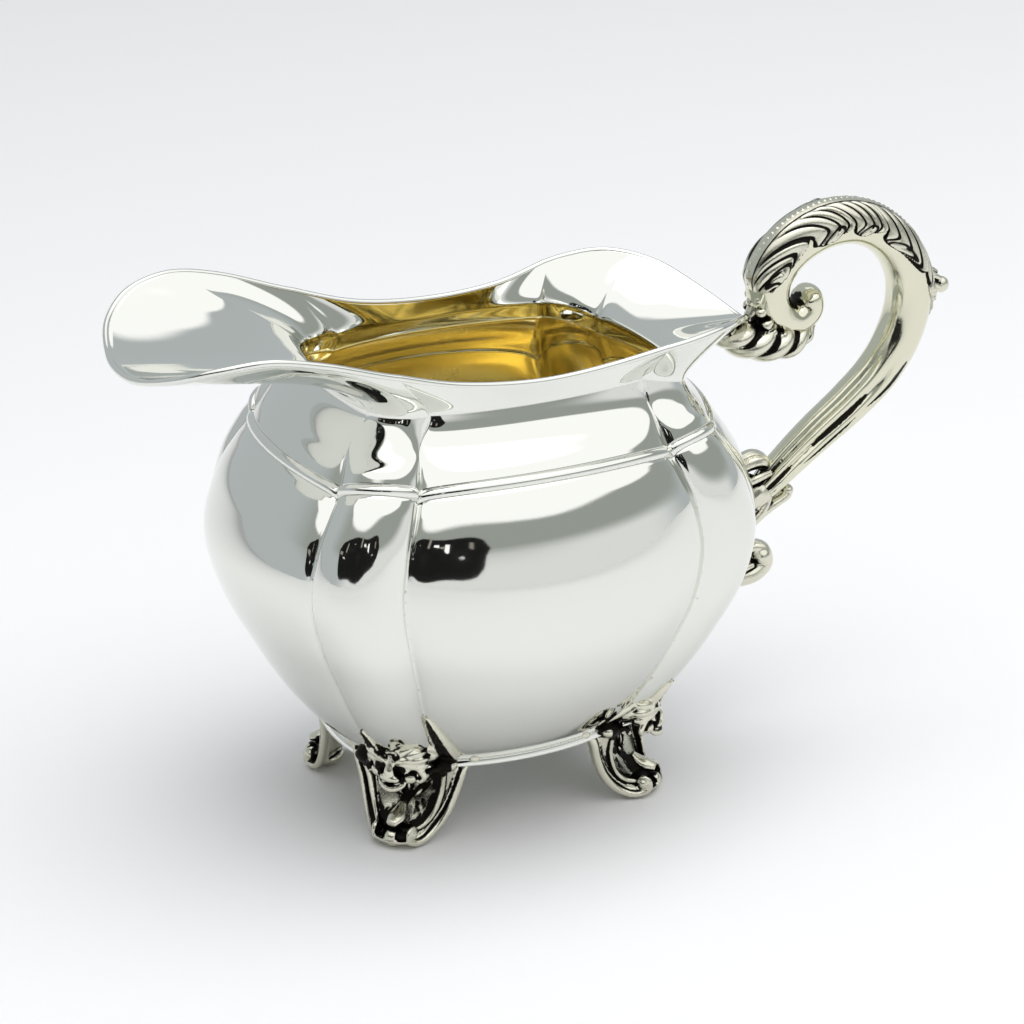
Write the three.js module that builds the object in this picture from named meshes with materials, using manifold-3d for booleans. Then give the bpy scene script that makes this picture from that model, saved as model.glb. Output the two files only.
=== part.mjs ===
// Silver cream jug: eight-lobed belly on four cast scroll feet, waisted neck flaring
// into a long spout, scroll handle at the back. Millimetres, +Z up, spout towards -X.
import * as THREE from 'three';
import { mergeVertices } from 'three/addons/utils/BufferGeometryUtils.js';
import Module from 'manifold-3d';

const wasm = await Module();
wasm.setup();

// ---- driving dimensions ----
const bodyX = -13.6;              // body axis, placed so the whole jug is centred on x = 0
const wall = 1.1;                 // sheet silver thickness
const seam = 0.3;                 // solder seam left open between neighbouring pieces
const beadRadius = 1.15;          // shoulder moulding
const wireRadius = 0.65;          // rim wire
const archRise = { end: 2.2, corner: 2.6, side: 2.4 };   // shoulder rise inside each lobe
const shoulderLevel = 69.5;
const lobeSteps = { end: 10, corner: 4, side: 10 };   // mesh columns across each lobe

// creases between the lobes at the widest level, one quarter of the plan: x, y
const sideCrease = [28.2, 31.7];
const endCrease = [41.9, 23.4];
const bulge = { end: 7.4, corner: 4.0, side: 9.0 };
const lobeFullness = 0.78;        // exponent of the lobe outline; lower is squarer
const spoutPinch = 0.1;           // how far the neck draws in towards the spout

// belly and neck: level, scale along x, scale along y, fullness of wide lobes, of corner lobes
const profile = [
  [15.4, 0.61, 0.58, 0.75, 0.7],
  [19.5, 0.675, 0.67, 0.9, 0.85],
  [26.0, 0.77, 0.775, 0.97, 0.95],
  [34.5, 0.865, 0.89, 1.0, 1.0],
  [43.5, 0.955, 0.98, 1.0, 1.0],
  [53.0, 1.0, 1.0, 1.0, 1.0],
  [61.0, 0.955, 0.965, 0.92, 1.0],
  [66.5, 0.88, 0.9, 0.85, 0.95],
  [69.5, 0.835, 0.85, 0.75, 0.9],
  [74.5, 0.79, 0.775, 0.6, 0.95],
  [78.5, 0.755, 0.695, 0.5, 0.95],
  [82.0, 0.745, 0.67, 0.4, 0.8],
];

// rim edge from the spout tip round one side to the point above the handle
const rimHalf = [
  [-66.8, 0, 89.5], [-66, 7, 89.9], [-62.9, 16.3, 92.7], [-57, 22.3, 95.5],
  [-49, 24.8, 96.7], [-39.5, 25.5, 95], [-27, 24.5, 90.9], [-14, 23.2, 87.2],
  [0, 23.4, 85.8], [14, 23.7, 86.4], [27.5, 25.4, 88.7], [36, 23.5, 89.4],
  [43, 17.5, 88], [48.5, 9, 84.2], [52.2, 0, 80.7],
];
// rim x where each crease of the neck arrives: spout corner, spout side, back side, back corner
const rimCreaseX = [-49, -26, 24.3, 40];
const throat = { side: 81.8, back: 78.6, spout: 81.8 };

// handle centre line in the plane y = 0: x, z, half thickness, half width across
const armPath = [
  [51.9, 43.8, 2.0, 2.8], [55.2, 46.0, 2.3, 3.0], [58.6, 48.6, 2.8, 3.4],
  [62.6, 52.0, 3.2, 3.7], [68.2, 56.4, 3.6, 4.0], [74.8, 61.2, 3.9, 4.2],
  [80.6, 66.4, 4.1, 4.3], [84.9, 73.0, 4.2, 4.4], [86.6, 79.6, 4.2, 4.4],
  [85.8, 85.6, 4.0, 4.4], [82.0, 91.7, 3.8, 4.3], [75.6, 95.8, 3.9, 4.3],
  [68.3, 96.3, 4.2, 4.3], [61.4, 93.4, 4.2, 4.3], [57.5, 88.6, 3.8, 4.2],
  [57.0, 83.9, 3.4, 4.1], [59.0, 80.5, 2.8, 3.9], [62.5, 79.3, 2.3, 3.8],
  [65.2, 81.0, 2.2, 3.8], [65.3, 83.8, 2.0, 3.6], [64.6, 85.3, 1.5, 3.0],
];
const leafSpan = [0.42, 0.79];    // stretch of the arm the acanthus leaf lies on
const leafThickness = 0.9;
const bracketPath = [
  [44.2, 78.9, 0.7, 1.6], [47.0, 78.0, 1.7, 3.0], [50.5, 76.9, 2.0, 3.8],
  [54.5, 75.3, 1.5, 4.0], [59.0, 74.8, 1.2, 3.8], [63.5, 75.3, 1.0, 3.0],
  [66.4, 77.0, 0.7, 1.6],
];
const socketPath = [
  [47.0, 41.6, 3.6, 4.2], [51.6, 44.0, 3.4, 4.0], [55.0, 46.2, 3.5, 4.1],
  [56.9, 47.6, 3.2, 3.9],
];
const socketKnuckle = [54.4, 0, 52.2];
const underLeafPath = [
  [50.8, 37.6, 1.0, 1.8], [52.0, 39.6, 1.4, 2.4], [54.4, 41.2, 1.6, 2.6],
  [57.4, 42.9, 1.3, 2.4], [60.2, 44.0, 1.0, 2.0], [62.2, 45.4, 0.9, 1.7],
];
const tailPath = [
  [44.0, 31.0, 1.7, 2.6], [49.0, 29.9, 1.9, 2.8], [52.0, 30.2, 2.0, 3.0],
  [55.2, 30.6, 2.0, 2.9], [57.4, 32.4, 1.9, 2.7], [57.2, 34.8, 1.5, 2.4],
  [55.4, 35.6, 1.2, 2.0],
];
const tailBall = [56.6, 0, 33.7];
const spurBall = [94.0, 0, 81.4];

// cast foot in its own frame: u outward, v across, z up
const footSpot = [25.5, 18.3];
const footReach = Math.hypot(footSpot[0], footSpot[1]);
// level, middle u, long-side edge u and v, end-side edge u and v, thickness
const footLevels = [
  [0, 0.4, -1.0, 4.0, 0.4, 3.8, 4.4], [1.6, 0.6, -2.4, 4.9, -0.2, 4.6, 4.4],
  [3.6, -1.6, -5.1, 5.9, -1.6, 6.2, 3.4], [6.5, -3.9, -6.8, 7.0, -2.6, 7.3, 2.6],
  [10, -4.7, -7.7, 8.0, -3.2, 8.3, 2.4], [14, -4.1, -8.5, 9.2, -3.3, 9.4, 2.6],
  [17.5, -1.9, -7.7, 8.8, -2.7, 9.2, 3.4], [21, -0.4, -4.0, 6.4, -1.6, 6.4, 3.6],
  [22.8, -0.2, -1.9, 4.0, -1.1, 4.2, 3.0],
];
const maskCentre = [-1.0, 0.3, 17.6];
const maskSize = [3.2, 5.2, 4.2];
const snout = [1.0, 0.3, 14.4];
const toeRoll = 2.1;              // radius of the roll the foot stands on
// upper curls and leaf points against the belly: u, v, z
const curls = [[-10.2, 9.7, 16.2], [-4.3, -10.2, 16.8]];
const leafPoints = [[[-2.6, 8.0, 15.5], [2.0, 8.2, 27.6], 2.8], [[0.6, 2.4, 16.5], [5.0, 3.4, 26.2], 2.6]];

// ---- helpers ----
const lerp = THREE.MathUtils.lerp;

// smooth value through a table of [key, a, b, ...] rows
function tableAt(rows, key, column) {
  let i = 0;
  while (i < rows.length - 2 && key > rows[i + 1][0]) i += 1;
  const before = rows[Math.max(i - 1, 0)];
  const a = rows[i];
  const b = rows[i + 1];
  const after = rows[Math.min(i + 2, rows.length - 1)];
  const span = b[0] - a[0];
  const t = THREE.MathUtils.clamp((key - a[0]) / span, 0, 1);
  const slopeA = ((b[column] - before[column]) / (b[0] - before[0])) * span;
  const slopeB = ((after[column] - a[column]) / (after[0] - a[0])) * span;
  return hermite(a[column], b[column], slopeA, slopeB, t);
}

function hermite(a, b, slopeA, slopeB, t) {
  const t2 = t * t;
  const t3 = t2 * t;
  return a * (2 * t3 - 3 * t2 + 1) + slopeA * (t3 - 2 * t2 + t)
    + b * (3 * t2 - 2 * t3) + slopeB * (t3 - t2);
}

// signed volume tells whether the faces look outward
function faceOutward(points, index) {
  let volume = 0;
  for (let i = 0; i < index.length; i += 3) {
    const [a, b, c] = [points[index[i]], points[index[i + 1]], points[index[i + 2]]];
    volume += a.dot(b.clone().cross(c));
  }
  if (volume < 0) {
    for (let i = 0; i < index.length; i += 3) {
      [index[i + 1], index[i + 2]] = [index[i + 2], index[i + 1]];
    }
  }
  return index;
}

function geometryFrom(points, index) {
  const geometry = new THREE.BufferGeometry().setFromPoints(points);
  geometry.setIndex(faceOutward(points, index));
  return geometry;
}

// skin a list of equal rings; ends are closed with a fan or the last ring meets the first
function loft(rings, closure) {
  const count = rings[0].length;
  const points = rings.flat();
  const index = [];
  const bands = closure === 'loop' ? rings.length : rings.length - 1;
  for (let j = 0; j < bands; j += 1) {
    const low = j * count;
    const high = ((j + 1) % rings.length) * count;
    for (let i = 0; i < count; i += 1) {
      const next = (i + 1) % count;
      index.push(low + i, low + next, high + next, low + i, high + next, high + i);
    }
  }
  if (closure !== 'loop') {
    const fan = (ring, flip) => {
      const centre = new THREE.Vector3();
      rings[ring].forEach((p) => centre.addScaledVector(p, 1 / count));
      const hub = points.push(centre) - 1;
      for (let i = 0; i < count; i += 1) {
        const edge = [ring * count + i, ring * count + ((i + 1) % count)];
        index.push(hub, edge[flip ? 0 : 1], edge[flip ? 1 : 0]);
      }
    };
    fan(0, false);
    fan(rings.length - 1, true);
  }
  return geometryFrom(points, index);
}

// rings moved along their own surface normals; positive is to the outside
function offsetRings(rings, distance) {
  return rings.map((ring, j) => ring.map((p, i) => {
    const count = ring.length;
    const along = ring[(i + 1) % count].clone().sub(ring[(i + count - 1) % count]);
    const below = rings[Math.max(j - 1, 0)][i];
    const above = rings[Math.min(j + 1, rings.length - 1)][i];
    const up = above.clone().sub(below);
    return p.clone().addScaledVector(along.cross(up).normalize(), distance);
  }));
}

// ---- lobed plan ----
function cornerList(sx, sy) {
  const [cx, cy] = [sideCrease[0] * sx, sideCrease[1] * sy];
  const [bx, by] = [endCrease[0] * sx, endCrease[1] * sy];
  return [[bx, -by], [bx, by], [cx, cy], [-cx, cy], [-bx, by], [-bx, -by], [-cx, -cy], [cx, -cy]];
}
const lobeKind = ['end', 'corner', 'side', 'corner', 'end', 'corner', 'side', 'corner'];

// the shoulder arches up in the middle of every lobe; the arch fades above and below
function archAt(level) {
  const below = THREE.MathUtils.smoothstep(level, 55, 67.5);
  const above = 1 - THREE.MathUtils.smoothstep(level, 71, 77);
  return below * above;
}

// every place round the body where the mesh has a column
const stations = lobeKind.flatMap((kind, lobe) => (
  Array.from({ length: lobeSteps[kind] }, (_, step) => ({ lobe, t: step / lobeSteps[kind] }))));

// one closed ring of the body; levelAt gives the level for a place along the lobes
function lobedRing(levelAt) {
  return stations.map(({ lobe, t }) => {
    const crown = 1 - (2 * t - 1) ** 2;
    const level = levelAt(lobe, t);
    const kind = lobeKind[lobe];
    const fullColumn = kind === 'corner' ? 4 : 3;
    const [sx, sy, full] = [1, 2, fullColumn].map((column) => tableAt(profile, level, column));
    const corners = cornerList(sx, sy);
    const [a, b] = [corners[lobe], corners[(lobe + 1) % 8]];
    const length = Math.hypot(b[0] - a[0], b[1] - a[1]);
    const out = [(b[1] - a[1]) / length, (a[0] - b[0]) / length];
    const height = bulge[kind] * full * ((sx + sy) / 2) * crown ** lobeFullness;
    const x = lerp(a[0], b[0], t) + out[0] * height;
    const pinch = x < 0 ? spoutPinch * THREE.MathUtils.smoothstep(level, 76, 81.5) : 0;
    return new THREE.Vector3(
      x * (1 - pinch),
      lerp(a[1], b[1], t) + out[1] * height,
      level + archRise[kind] * archAt(level) * crown ** 0.42,
    );
  });
}

// ---- bowl ----
const bowlTop = shoulderLevel - beadRadius - seam;
const bowlLevels = [15.4, 17.2, 19.5, 23, 27.5, 33, 39, 45.5, 51.5, 57.5, 62, 65.4, bowlTop];
const bowlRings = bowlLevels.map((level) => lobedRing(() => level));
const bowlInside = offsetRings(bowlRings, -wall);
bowlInside[0].forEach((p) => { p.z = bowlLevels[0] + wall; });
bowlInside.at(-1).forEach((p, i) => { p.z = bowlRings.at(-1)[i].z; });
const bowl = loft([...bowlRings, ...bowlInside.reverse()], 'fans');

// ---- base plate ----
const plateRing = offsetRings([bowlRings[0], bowlRings[0].map((p) => p.clone().setZ(p.z + 1))], 0.7)[0];
const plateAt = (z, grow) => plateRing.map((p) => {
  const scale = 1 + grow / Math.hypot(p.x, p.y);
  return new THREE.Vector3(p.x * scale, p.y * scale, z);
});
const plateTop = bowlLevels[0] - seam;
const plateThickness = 0.9;
const basePlate = loft([plateAt(plateTop - plateThickness, -0.3), plateAt(plateTop, 0)], 'fans');

// everything soldered to the belly is trimmed back to this skin, one seam clear of it
const skinRings = [
  plateAt(plateTop - plateThickness - seam, seam),
  plateAt(plateTop + seam, seam + 0.1),
  ...offsetRings(bowlRings, seam).slice(2),
];
const bellySkin = loft(skinRings, 'fans');

// ---- rim, flare and spout ----
const rimPoints = [...rimHalf, ...rimHalf.slice(1, -1).reverse().map(([x, y, z]) => [x, -y, z])];
const rimCurve = new THREE.CatmullRomCurve3(
  rimPoints.map((p) => new THREE.Vector3(...p)),
  true,
  'centripetal',
);
rimCurve.arcLengthDivisions = 800;

// how far round from the back point the rim has gone when it reaches a given x
function rimTravel(x) {
  let [low, high] = [0, 0.5];
  for (let i = 0; i < 30; i += 1) {
    const middle = (low + high) / 2;
    if (rimCurve.getPointAt(middle).x < x) low = middle;
    else high = middle;
  }
  return 0.5 - low;
}
const [spoutCorner, spoutSide, backSide, backCorner] = rimCreaseX.map(rimTravel);
const rimStops = [
  -backCorner, backCorner, backSide, spoutSide, spoutCorner,
  1 - spoutCorner, 1 - spoutSide, 1 - backSide, 1 - backCorner,
];

function rimPoint(lobe, t) {
  const travel = lerp(rimStops[lobe], rimStops[lobe + 1], t);
  return rimCurve.getPointAt((1.5 - travel) % 1);
}

// level of the bend between neck and flare
function throatLevel(lobe, t) {
  const stops = [
    throat.back, throat.back, throat.side, throat.side,
    throat.spout, throat.spout, throat.side, throat.side, throat.back,
  ];
  return lerp(stops[lobe], stops[lobe + 1], t);
}

const neckBottom = shoulderLevel + beadRadius + seam;
const neckRings = [0, 0.18, 0.4, 0.62, 0.82].map((part) => (
  lobedRing((lobe, t) => lerp(neckBottom, throatLevel(lobe, t), part))));
const throatRing = lobedRing(throatLevel);

// from the throat the sheet bends over and runs out to the rim
function flareRing(part) {
  return throatRing.map((from, i) => {
    const to = rimPoint(stations[i].lobe, stations[i].t);
    const reach = from.distanceTo(to);
    to.lerp(from, (2 * wireRadius + seam) / reach);
    const rise = reach * 0.42;
    const [dx, dy, dz] = [to.x - from.x, to.y - from.y, to.z - from.z];
    return new THREE.Vector3(
      hermite(from.x, to.x, 0, dx, part),
      hermite(from.y, to.y, 0, dy, part),
      hermite(from.z, to.z, rise, dz, part),
    );
  });
}
const flareRings = [0, 0.14, 0.3, 0.48, 0.66, 0.84, 1].map(flareRing);
const neckOutside = [...neckRings, ...flareRings];
const neckInside = offsetRings(neckOutside, -wall);
neckInside[0].forEach((p, i) => { p.z = neckOutside[0][i].z; });
const neck = loft([...neckOutside, ...neckInside.reverse()], 'loop');

// round section carried along a closed ring
function beadAround(ring, radius, sides) {
  const rings = ring.map((p, i) => {
    const count = ring.length;
    const along = ring[(i + 1) % count].clone().sub(ring[(i + count - 1) % count]).normalize();
    const out = along.clone().cross(new THREE.Vector3(0, 0, 1)).normalize();
    const up = out.clone().cross(along).normalize();
    return Array.from({ length: sides }, (_, side) => {
      const angle = (side / sides) * 2 * Math.PI;
      return p.clone()
        .addScaledVector(out, radius * Math.cos(angle))
        .addScaledVector(up, radius * Math.sin(angle));
    });
  });
  return loft(rings, 'loop');
}

const shoulderRing = offsetRings(
  [lobedRing(() => shoulderLevel), lobedRing(() => shoulderLevel + 0.8)],
  0.1 - wall / 2,
)[0];
const shoulderBead = beadAround(shoulderRing, beadRadius, 8);

const rimRing = throatRing.map((from, i) => {
  const to = rimPoint(stations[i].lobe, stations[i].t);
  return to.lerp(from, wireRadius / from.distanceTo(to)).add(new THREE.Vector3(0, 0, wall / 2));
});
const rimWire = beadAround(rimRing, wireRadius, 8);

// ---- handle ----
// frames along a path in the plane y = 0; grow thickens the section all round
function pathFrames(path, samples, span = [0, 1], grow = 0) {
  const curve = new THREE.CatmullRomCurve3(
    path.map(([x, z]) => new THREE.Vector3(x, 0, z)),
    false,
    'centripetal',
  );
  const last = path.length - 1;
  const sizes = path.map((row, i) => [i, row[2], row[3]]);
  return Array.from({ length: samples + 1 }, (_, i) => {
    const part = lerp(span[0], span[1], i / samples);
    const along = curve.getTangent(part);
    return {
      part: i / samples,
      at: curve.getPoint(part),
      out: new THREE.Vector3(along.z, 0, -along.x),
      thick: tableAt(sizes, part * last, 1) + grow,
      wide: tableAt(sizes, part * last, 2) + grow,
    };
  });
}

function sectionPoint(frame, angle, extra = 0) {
  const p = frame.at.clone().addScaledVector(frame.out, (frame.thick + extra) * Math.cos(angle));
  p.y += (frame.wide + extra) * Math.sin(angle);
  return p;
}

function rod(path, samples, sides, grow = 0) {
  const rings = pathFrames(path, samples, [0, 1], grow).map((frame) => (
    Array.from({ length: sides }, (_, side) => sectionPoint(frame, (side / sides) * 2 * Math.PI))));
  return loft(rings, 'fans');
}

const arm = rod(armPath, 64, 12);

// leaf wrapped over the outer side of the arm, with a scalloped edge
const leafRings = pathFrames(armPath, 30, leafSpan, seam).map((frame) => {
  const ends = Math.min(1, frame.part * 6, (1 - frame.part) * 8);
  const scallop = Math.abs(Math.sin(frame.part * Math.PI * 6));
  const reach = THREE.MathUtils.degToRad(28 + 50 * ends + 14 * scallop * ends);
  const arc = Array.from({ length: 9 }, (_, i) => lerp(-reach, reach, i / 8));
  const crest = leafThickness * (0.55 + 0.45 * ends);
  return [
    ...arc.map((angle) => sectionPoint(frame, angle, crest)),
    ...arc.reverse().map((angle) => sectionPoint(frame, angle)),
  ];
});
const leaf = loft(leafRings, 'fans');

// ---- solids that are joined or trimmed ----
function toSolid(geometry) {
  const bare = new THREE.BufferGeometry();
  bare.setAttribute('position', geometry.getAttribute('position'));
  if (geometry.index) bare.setIndex(geometry.index);
  const merged = mergeVertices(bare, 1e-4);
  return new wasm.Manifold(new wasm.Mesh({
    numProp: 3,
    vertProperties: new Float32Array(merged.getAttribute('position').array),
    triVerts: new Uint32Array(merged.index.array),
  }));
}

function fromSolid(solid) {
  const mesh = solid.getMesh();
  const geometry = new THREE.BufferGeometry();
  geometry.setAttribute('position', new THREE.BufferAttribute(mesh.vertProperties, 3));
  geometry.setIndex(new THREE.BufferAttribute(mesh.triVerts, 1));
  return geometry;
}

// trimming can leave slivers; the piece is the biggest body
function largest(solid) {
  return solid.decompose().sort((a, b) => b.volume() - a.volume())[0];
}

function ball([x, y, z], radii, detail = 10) {
  const sphere = new THREE.SphereGeometry(1, detail, Math.max(6, detail - 2));
  return toSolid(sphere.scale(...radii).translate(x, y, z));
}

const bellySolid = toSolid(bellySkin);
const armClear = toSolid(rod(armPath, 64, 12, seam));
const socket = fromSolid(largest(
  toSolid(rod(socketPath, 10, 12))
    .add(toSolid(rod(underLeafPath, 12, 10)))
    .add(ball(socketKnuckle, [2.6, 3.0, 2.2], 12).subtract(toSolid(rod(armPath, 64, 12, -0.4))))
    .subtract(bellySolid)
    .subtract(armClear),
));
const tail = fromSolid(
  toSolid(rod(tailPath, 20, 10)).add(ball(tailBall, [2.1, 2.9, 2.1], 12)).subtract(bellySolid),
);

// spur: a small cup leaf standing on the outside of the arm, holding a ball
const spurProfile = [[0, -2.2], [1.5, -2.2], [1.9, -0.9], [1.3, 0.3], [0, 0.3]]
  .map(([r, h]) => new THREE.Vector2(r, h));
const spurCup = new THREE.LatheGeometry(spurProfile, 10)
  .rotateZ(-Math.PI / 2)
  .translate(spurBall[0] - 0.9, 0, spurBall[2] - 0.3);
const spur = fromSolid(
  toSolid(spurCup)
    .add(ball(spurBall, [1.2, 1.2, 1.2], 10))
    .subtract(armClear)
    .subtract(toSolid(loft(leafRings.map((ring) => ring.map((p) => p.clone())), 'fans'))),
);

// shell bracket under the point of the rim, with ribs across its underside
const bracketRings = pathFrames(bracketPath, 24).map((frame) => (
  Array.from({ length: 14 }, (_, side) => {
    const angle = (side / 14) * 2 * Math.PI;
    const under = Math.max(0, Math.cos(angle));
    const rib = 0.35 * under * Math.sin(frame.part * Math.PI * 9);
    return sectionPoint(frame, angle, rib);
  })));
const bracket = loft(bracketRings, 'fans');

// ---- feet ----
function castFoot() {
  const steps = [-1, -0.75, -0.45, -0.15, 0.15, 0.45, 0.75, 1];
  const rings = footLevels.map(([z, middle, longU, longV, endU, endV, thick]) => {
    const face = (a) => lerp(middle, a > 0 ? longU : endU, a * a);
    const across = (a) => a * (a > 0 ? longV : endV);
    return [
      ...steps.map((a) => new THREE.Vector3(face(a), across(a), z)),
      ...steps.map((a) => -a).map((a) => (
        new THREE.Vector3(face(a) - thick * (1 - 0.35 * a * a), across(a) * 0.96, z))),
    ];
  });
  let foot = toSolid(loft(rings, 'fans'));
  foot = foot.add(ball(maskCentre, maskSize, 12)).add(ball(snout, [1.6, 2.0, 1.7]));
  const roll = new THREE.CylinderGeometry(toeRoll, toeRoll, 7.6, 12).translate(0.4, 0, toeRoll + 0.1);
  foot = foot.add(toSolid(roll));
  curls.forEach((centre) => {
    foot = foot.add(ball(centre, [1.5, 1.5, 1.8]));
  });
  leafPoints.forEach(([base, tip, width]) => {
    // a flat cone from base to tip, leaning out with the belly
    const rise = tip[2] - base[2];
    const blade = new THREE.ConeGeometry(width, rise, 7).rotateX(Math.PI / 2).scale(0.8, 1, 1)
      .rotateY(Math.atan2(tip[0] - base[0], rise))
      .translate((base[0] + tip[0]) / 2, (base[1] + tip[1]) / 2, (base[2] + tip[2]) / 2);
    foot = foot.add(toSolid(blade));
  });
  const floor = toSolid(new THREE.BoxGeometry(60, 60, 20).translate(0, 0, -10));
  return foot.subtract(floor);
}

function placeFoot(sideX, sideY) {
  let foot = castFoot();
  if (sideX * sideY < 0) foot = foot.mirror([0, 1, 0]);
  const angle = Math.atan2(sideY * footSpot[1], sideX * footSpot[0]);
  const trimmed = foot
    .translate([footReach, 0, 0])
    .rotate([0, 0, THREE.MathUtils.radToDeg(angle)])
    .subtract(bellySolid);
  return fromSolid(largest(trimmed));
}

// ---- assembly ----
const jug = new THREE.Group();
jug.name = 'cream_jug';

function addPiece(name, geometry, colour, roughness) {
  const material = new THREE.MeshStandardMaterial({ color: colour, metalness: 1, roughness });
  const mesh = new THREE.Mesh(geometry.translate(bodyX, 0, 0), material);
  mesh.name = name;
  jug.add(mesh);
}

const sheet = 0xe3e3e1;
const cast = 0xcfcbc0;
addPiece('bowl_shell', bowl, sheet, 0.08);
addPiece('neck_shell', neck, sheet, 0.08);
addPiece('shoulder_moulding', shoulderBead, sheet, 0.1);
addPiece('rim_wire', rimWire, sheet, 0.08);
addPiece('base_plate', basePlate, sheet, 0.12);
addPiece('handle_arm', arm, cast, 0.15);
addPiece('acanthus_leaf', leaf, cast, 0.25);
addPiece('rim_bracket', bracket, cast, 0.25);
addPiece('handle_spur', spur, cast, 0.2);
addPiece('handle_socket', socket, cast, 0.2);
addPiece('tail_scroll', tail, cast, 0.15);
addPiece('foot_spout_left', placeFoot(-1, -1), cast, 0.28);
addPiece('foot_spout_right', placeFoot(-1, 1), cast, 0.28);
addPiece('foot_back_left', placeFoot(1, -1), cast, 0.28);
addPiece('foot_back_right', placeFoot(1, 1), cast, 0.28);

export default jug;
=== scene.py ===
import math
import bpy
import numpy as np
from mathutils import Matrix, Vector
from mathutils.bvhtree import BVHTree


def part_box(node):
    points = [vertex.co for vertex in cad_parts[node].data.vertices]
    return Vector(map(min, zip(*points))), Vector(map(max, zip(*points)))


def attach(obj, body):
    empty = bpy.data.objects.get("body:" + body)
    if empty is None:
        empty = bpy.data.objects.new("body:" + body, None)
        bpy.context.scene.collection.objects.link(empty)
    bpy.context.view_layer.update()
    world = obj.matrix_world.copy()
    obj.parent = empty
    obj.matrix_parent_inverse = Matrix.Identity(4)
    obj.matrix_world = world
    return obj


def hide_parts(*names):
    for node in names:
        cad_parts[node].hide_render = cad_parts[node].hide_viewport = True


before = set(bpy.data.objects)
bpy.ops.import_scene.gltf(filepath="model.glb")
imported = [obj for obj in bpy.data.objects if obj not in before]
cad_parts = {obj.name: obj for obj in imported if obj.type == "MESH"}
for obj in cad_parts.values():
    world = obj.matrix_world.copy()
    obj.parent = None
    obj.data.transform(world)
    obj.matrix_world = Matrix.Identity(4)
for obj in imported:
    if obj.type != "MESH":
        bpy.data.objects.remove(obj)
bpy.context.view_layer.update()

mm = 0.001
scene = bpy.context.scene
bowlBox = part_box("bowl_shell")
bodyX = (bowlBox[0][0] + bowlBox[1][0]) / 2 / mm     # the body's axis, in mm like every size below


# ---- mesh helpers ----

def makeObject(name, points, faces, smooth=True):
    mesh = bpy.data.meshes.new(name)
    placed = np.asarray(points, float) + [bodyX, 0, 0]
    mesh.from_pydata((placed * mm).tolist(), [], faces)
    mesh.polygons.foreach_set("use_smooth", [smooth] * len(mesh.polygons))
    mesh.update()
    obj = bpy.data.objects.new(name, mesh)
    scene.collection.objects.link(obj)
    return obj


def gridFaces(rows, columns, closeRows=False, closeColumns=True, base=0):
    r = np.arange(rows if closeRows else rows - 1)
    c = np.arange(columns if closeColumns else columns - 1)
    r, c = np.meshgrid(r, c, indexing="ij")
    r2, c2 = (r + 1) % rows, (c + 1) % columns
    quad = np.stack([r * columns + c, r * columns + c2, r2 * columns + c2, r2 * columns + c], -1)
    return (quad.reshape(-1, 4) + base).tolist()


# positive volume means the faces look outward
def faceOut(points, faces):
    p = np.asarray(points, float)
    p = p - p.mean(0)
    volume = 0.0
    for size in (3, 4):
        some = np.array([f for f in faces if len(f) == size], int)
        if len(some):
            for k in range(1, size - 1):
                a, b, c = p[some[:, 0]], p[some[:, k]], p[some[:, k + 1]]
                volume += np.einsum("ij,ij->", a, np.cross(b, c))
    if volume < 0:
        faces = [list(reversed(f)) for f in faces]
    return faces


# skin equal rings of points; the two ends get a fan, or the last ring joins the first
def loftObject(name, rings, closed="fans"):
    rings = np.asarray(rings, float)
    rows, columns = rings.shape[:2]
    points = rings.reshape(-1, 3)
    faces = gridFaces(rows, columns, closeRows=closed == "loop")
    if closed == "fans":
        hubs = [rings[0].mean(0), rings[-1].mean(0)]
        points = np.vstack([points, hubs])
        start = (rows - 1) * columns
        for i in range(columns):
            j = (i + 1) % columns
            faces.append([rows * columns, j, i])
            faces.append([rows * columns + 1, start + i, start + j])
    return makeObject(name, points, faceOut(points, faces))


# unit normals of a ring grid, pointing out of the body
def gridNormals(rings):
    along = np.roll(rings, -1, 1) - np.roll(rings, 1, 1)
    up = np.gradient(rings, axis=0)
    n = np.cross(along, up)
    return n / np.maximum(np.linalg.norm(n, axis=2, keepdims=True), 1e-9)


def setAttribute(obj, name, values):
    layer = obj.data.attributes.new(name, "FLOAT", "POINT")
    layer.data.foreach_set("value", np.asarray(values, np.float32).ravel())


def smoothStep(x, low, high):
    t = np.clip((x - low) / (high - low), 0, 1)
    return t * t * (3 - 2 * t)


def hermite(a, b, slopeA, slopeB, t):
    t2, t3 = t * t, t * t * t
    return a * (2 * t3 - 3 * t2 + 1) + slopeA * (t3 - 2 * t2 + t) + b * (3 * t2 - 2 * t3) + slopeB * (t3 - t2)


# smooth value through rows of [key, a, b, ...], for an array of keys
def tableAt(rows, keys, column):
    rows = np.asarray(rows, float)
    keys = np.asarray(keys, float)
    i = np.clip(np.searchsorted(rows[:, 0], keys, side="left") - 1, 0, len(rows) - 2)
    before, after = np.maximum(i - 1, 0), np.minimum(i + 2, len(rows) - 1)
    span = rows[i + 1, 0] - rows[i, 0]
    t = np.clip((keys - rows[i, 0]) / span, 0, 1)
    slopeA = (rows[i + 1, column] - rows[before, column]) / (rows[i + 1, 0] - rows[before, 0]) * span
    slopeB = (rows[after, column] - rows[i, column]) / (rows[after, 0] - rows[i, 0]) * span
    return hermite(rows[i, column], rows[i + 1, column], slopeA, slopeB, t)


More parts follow.
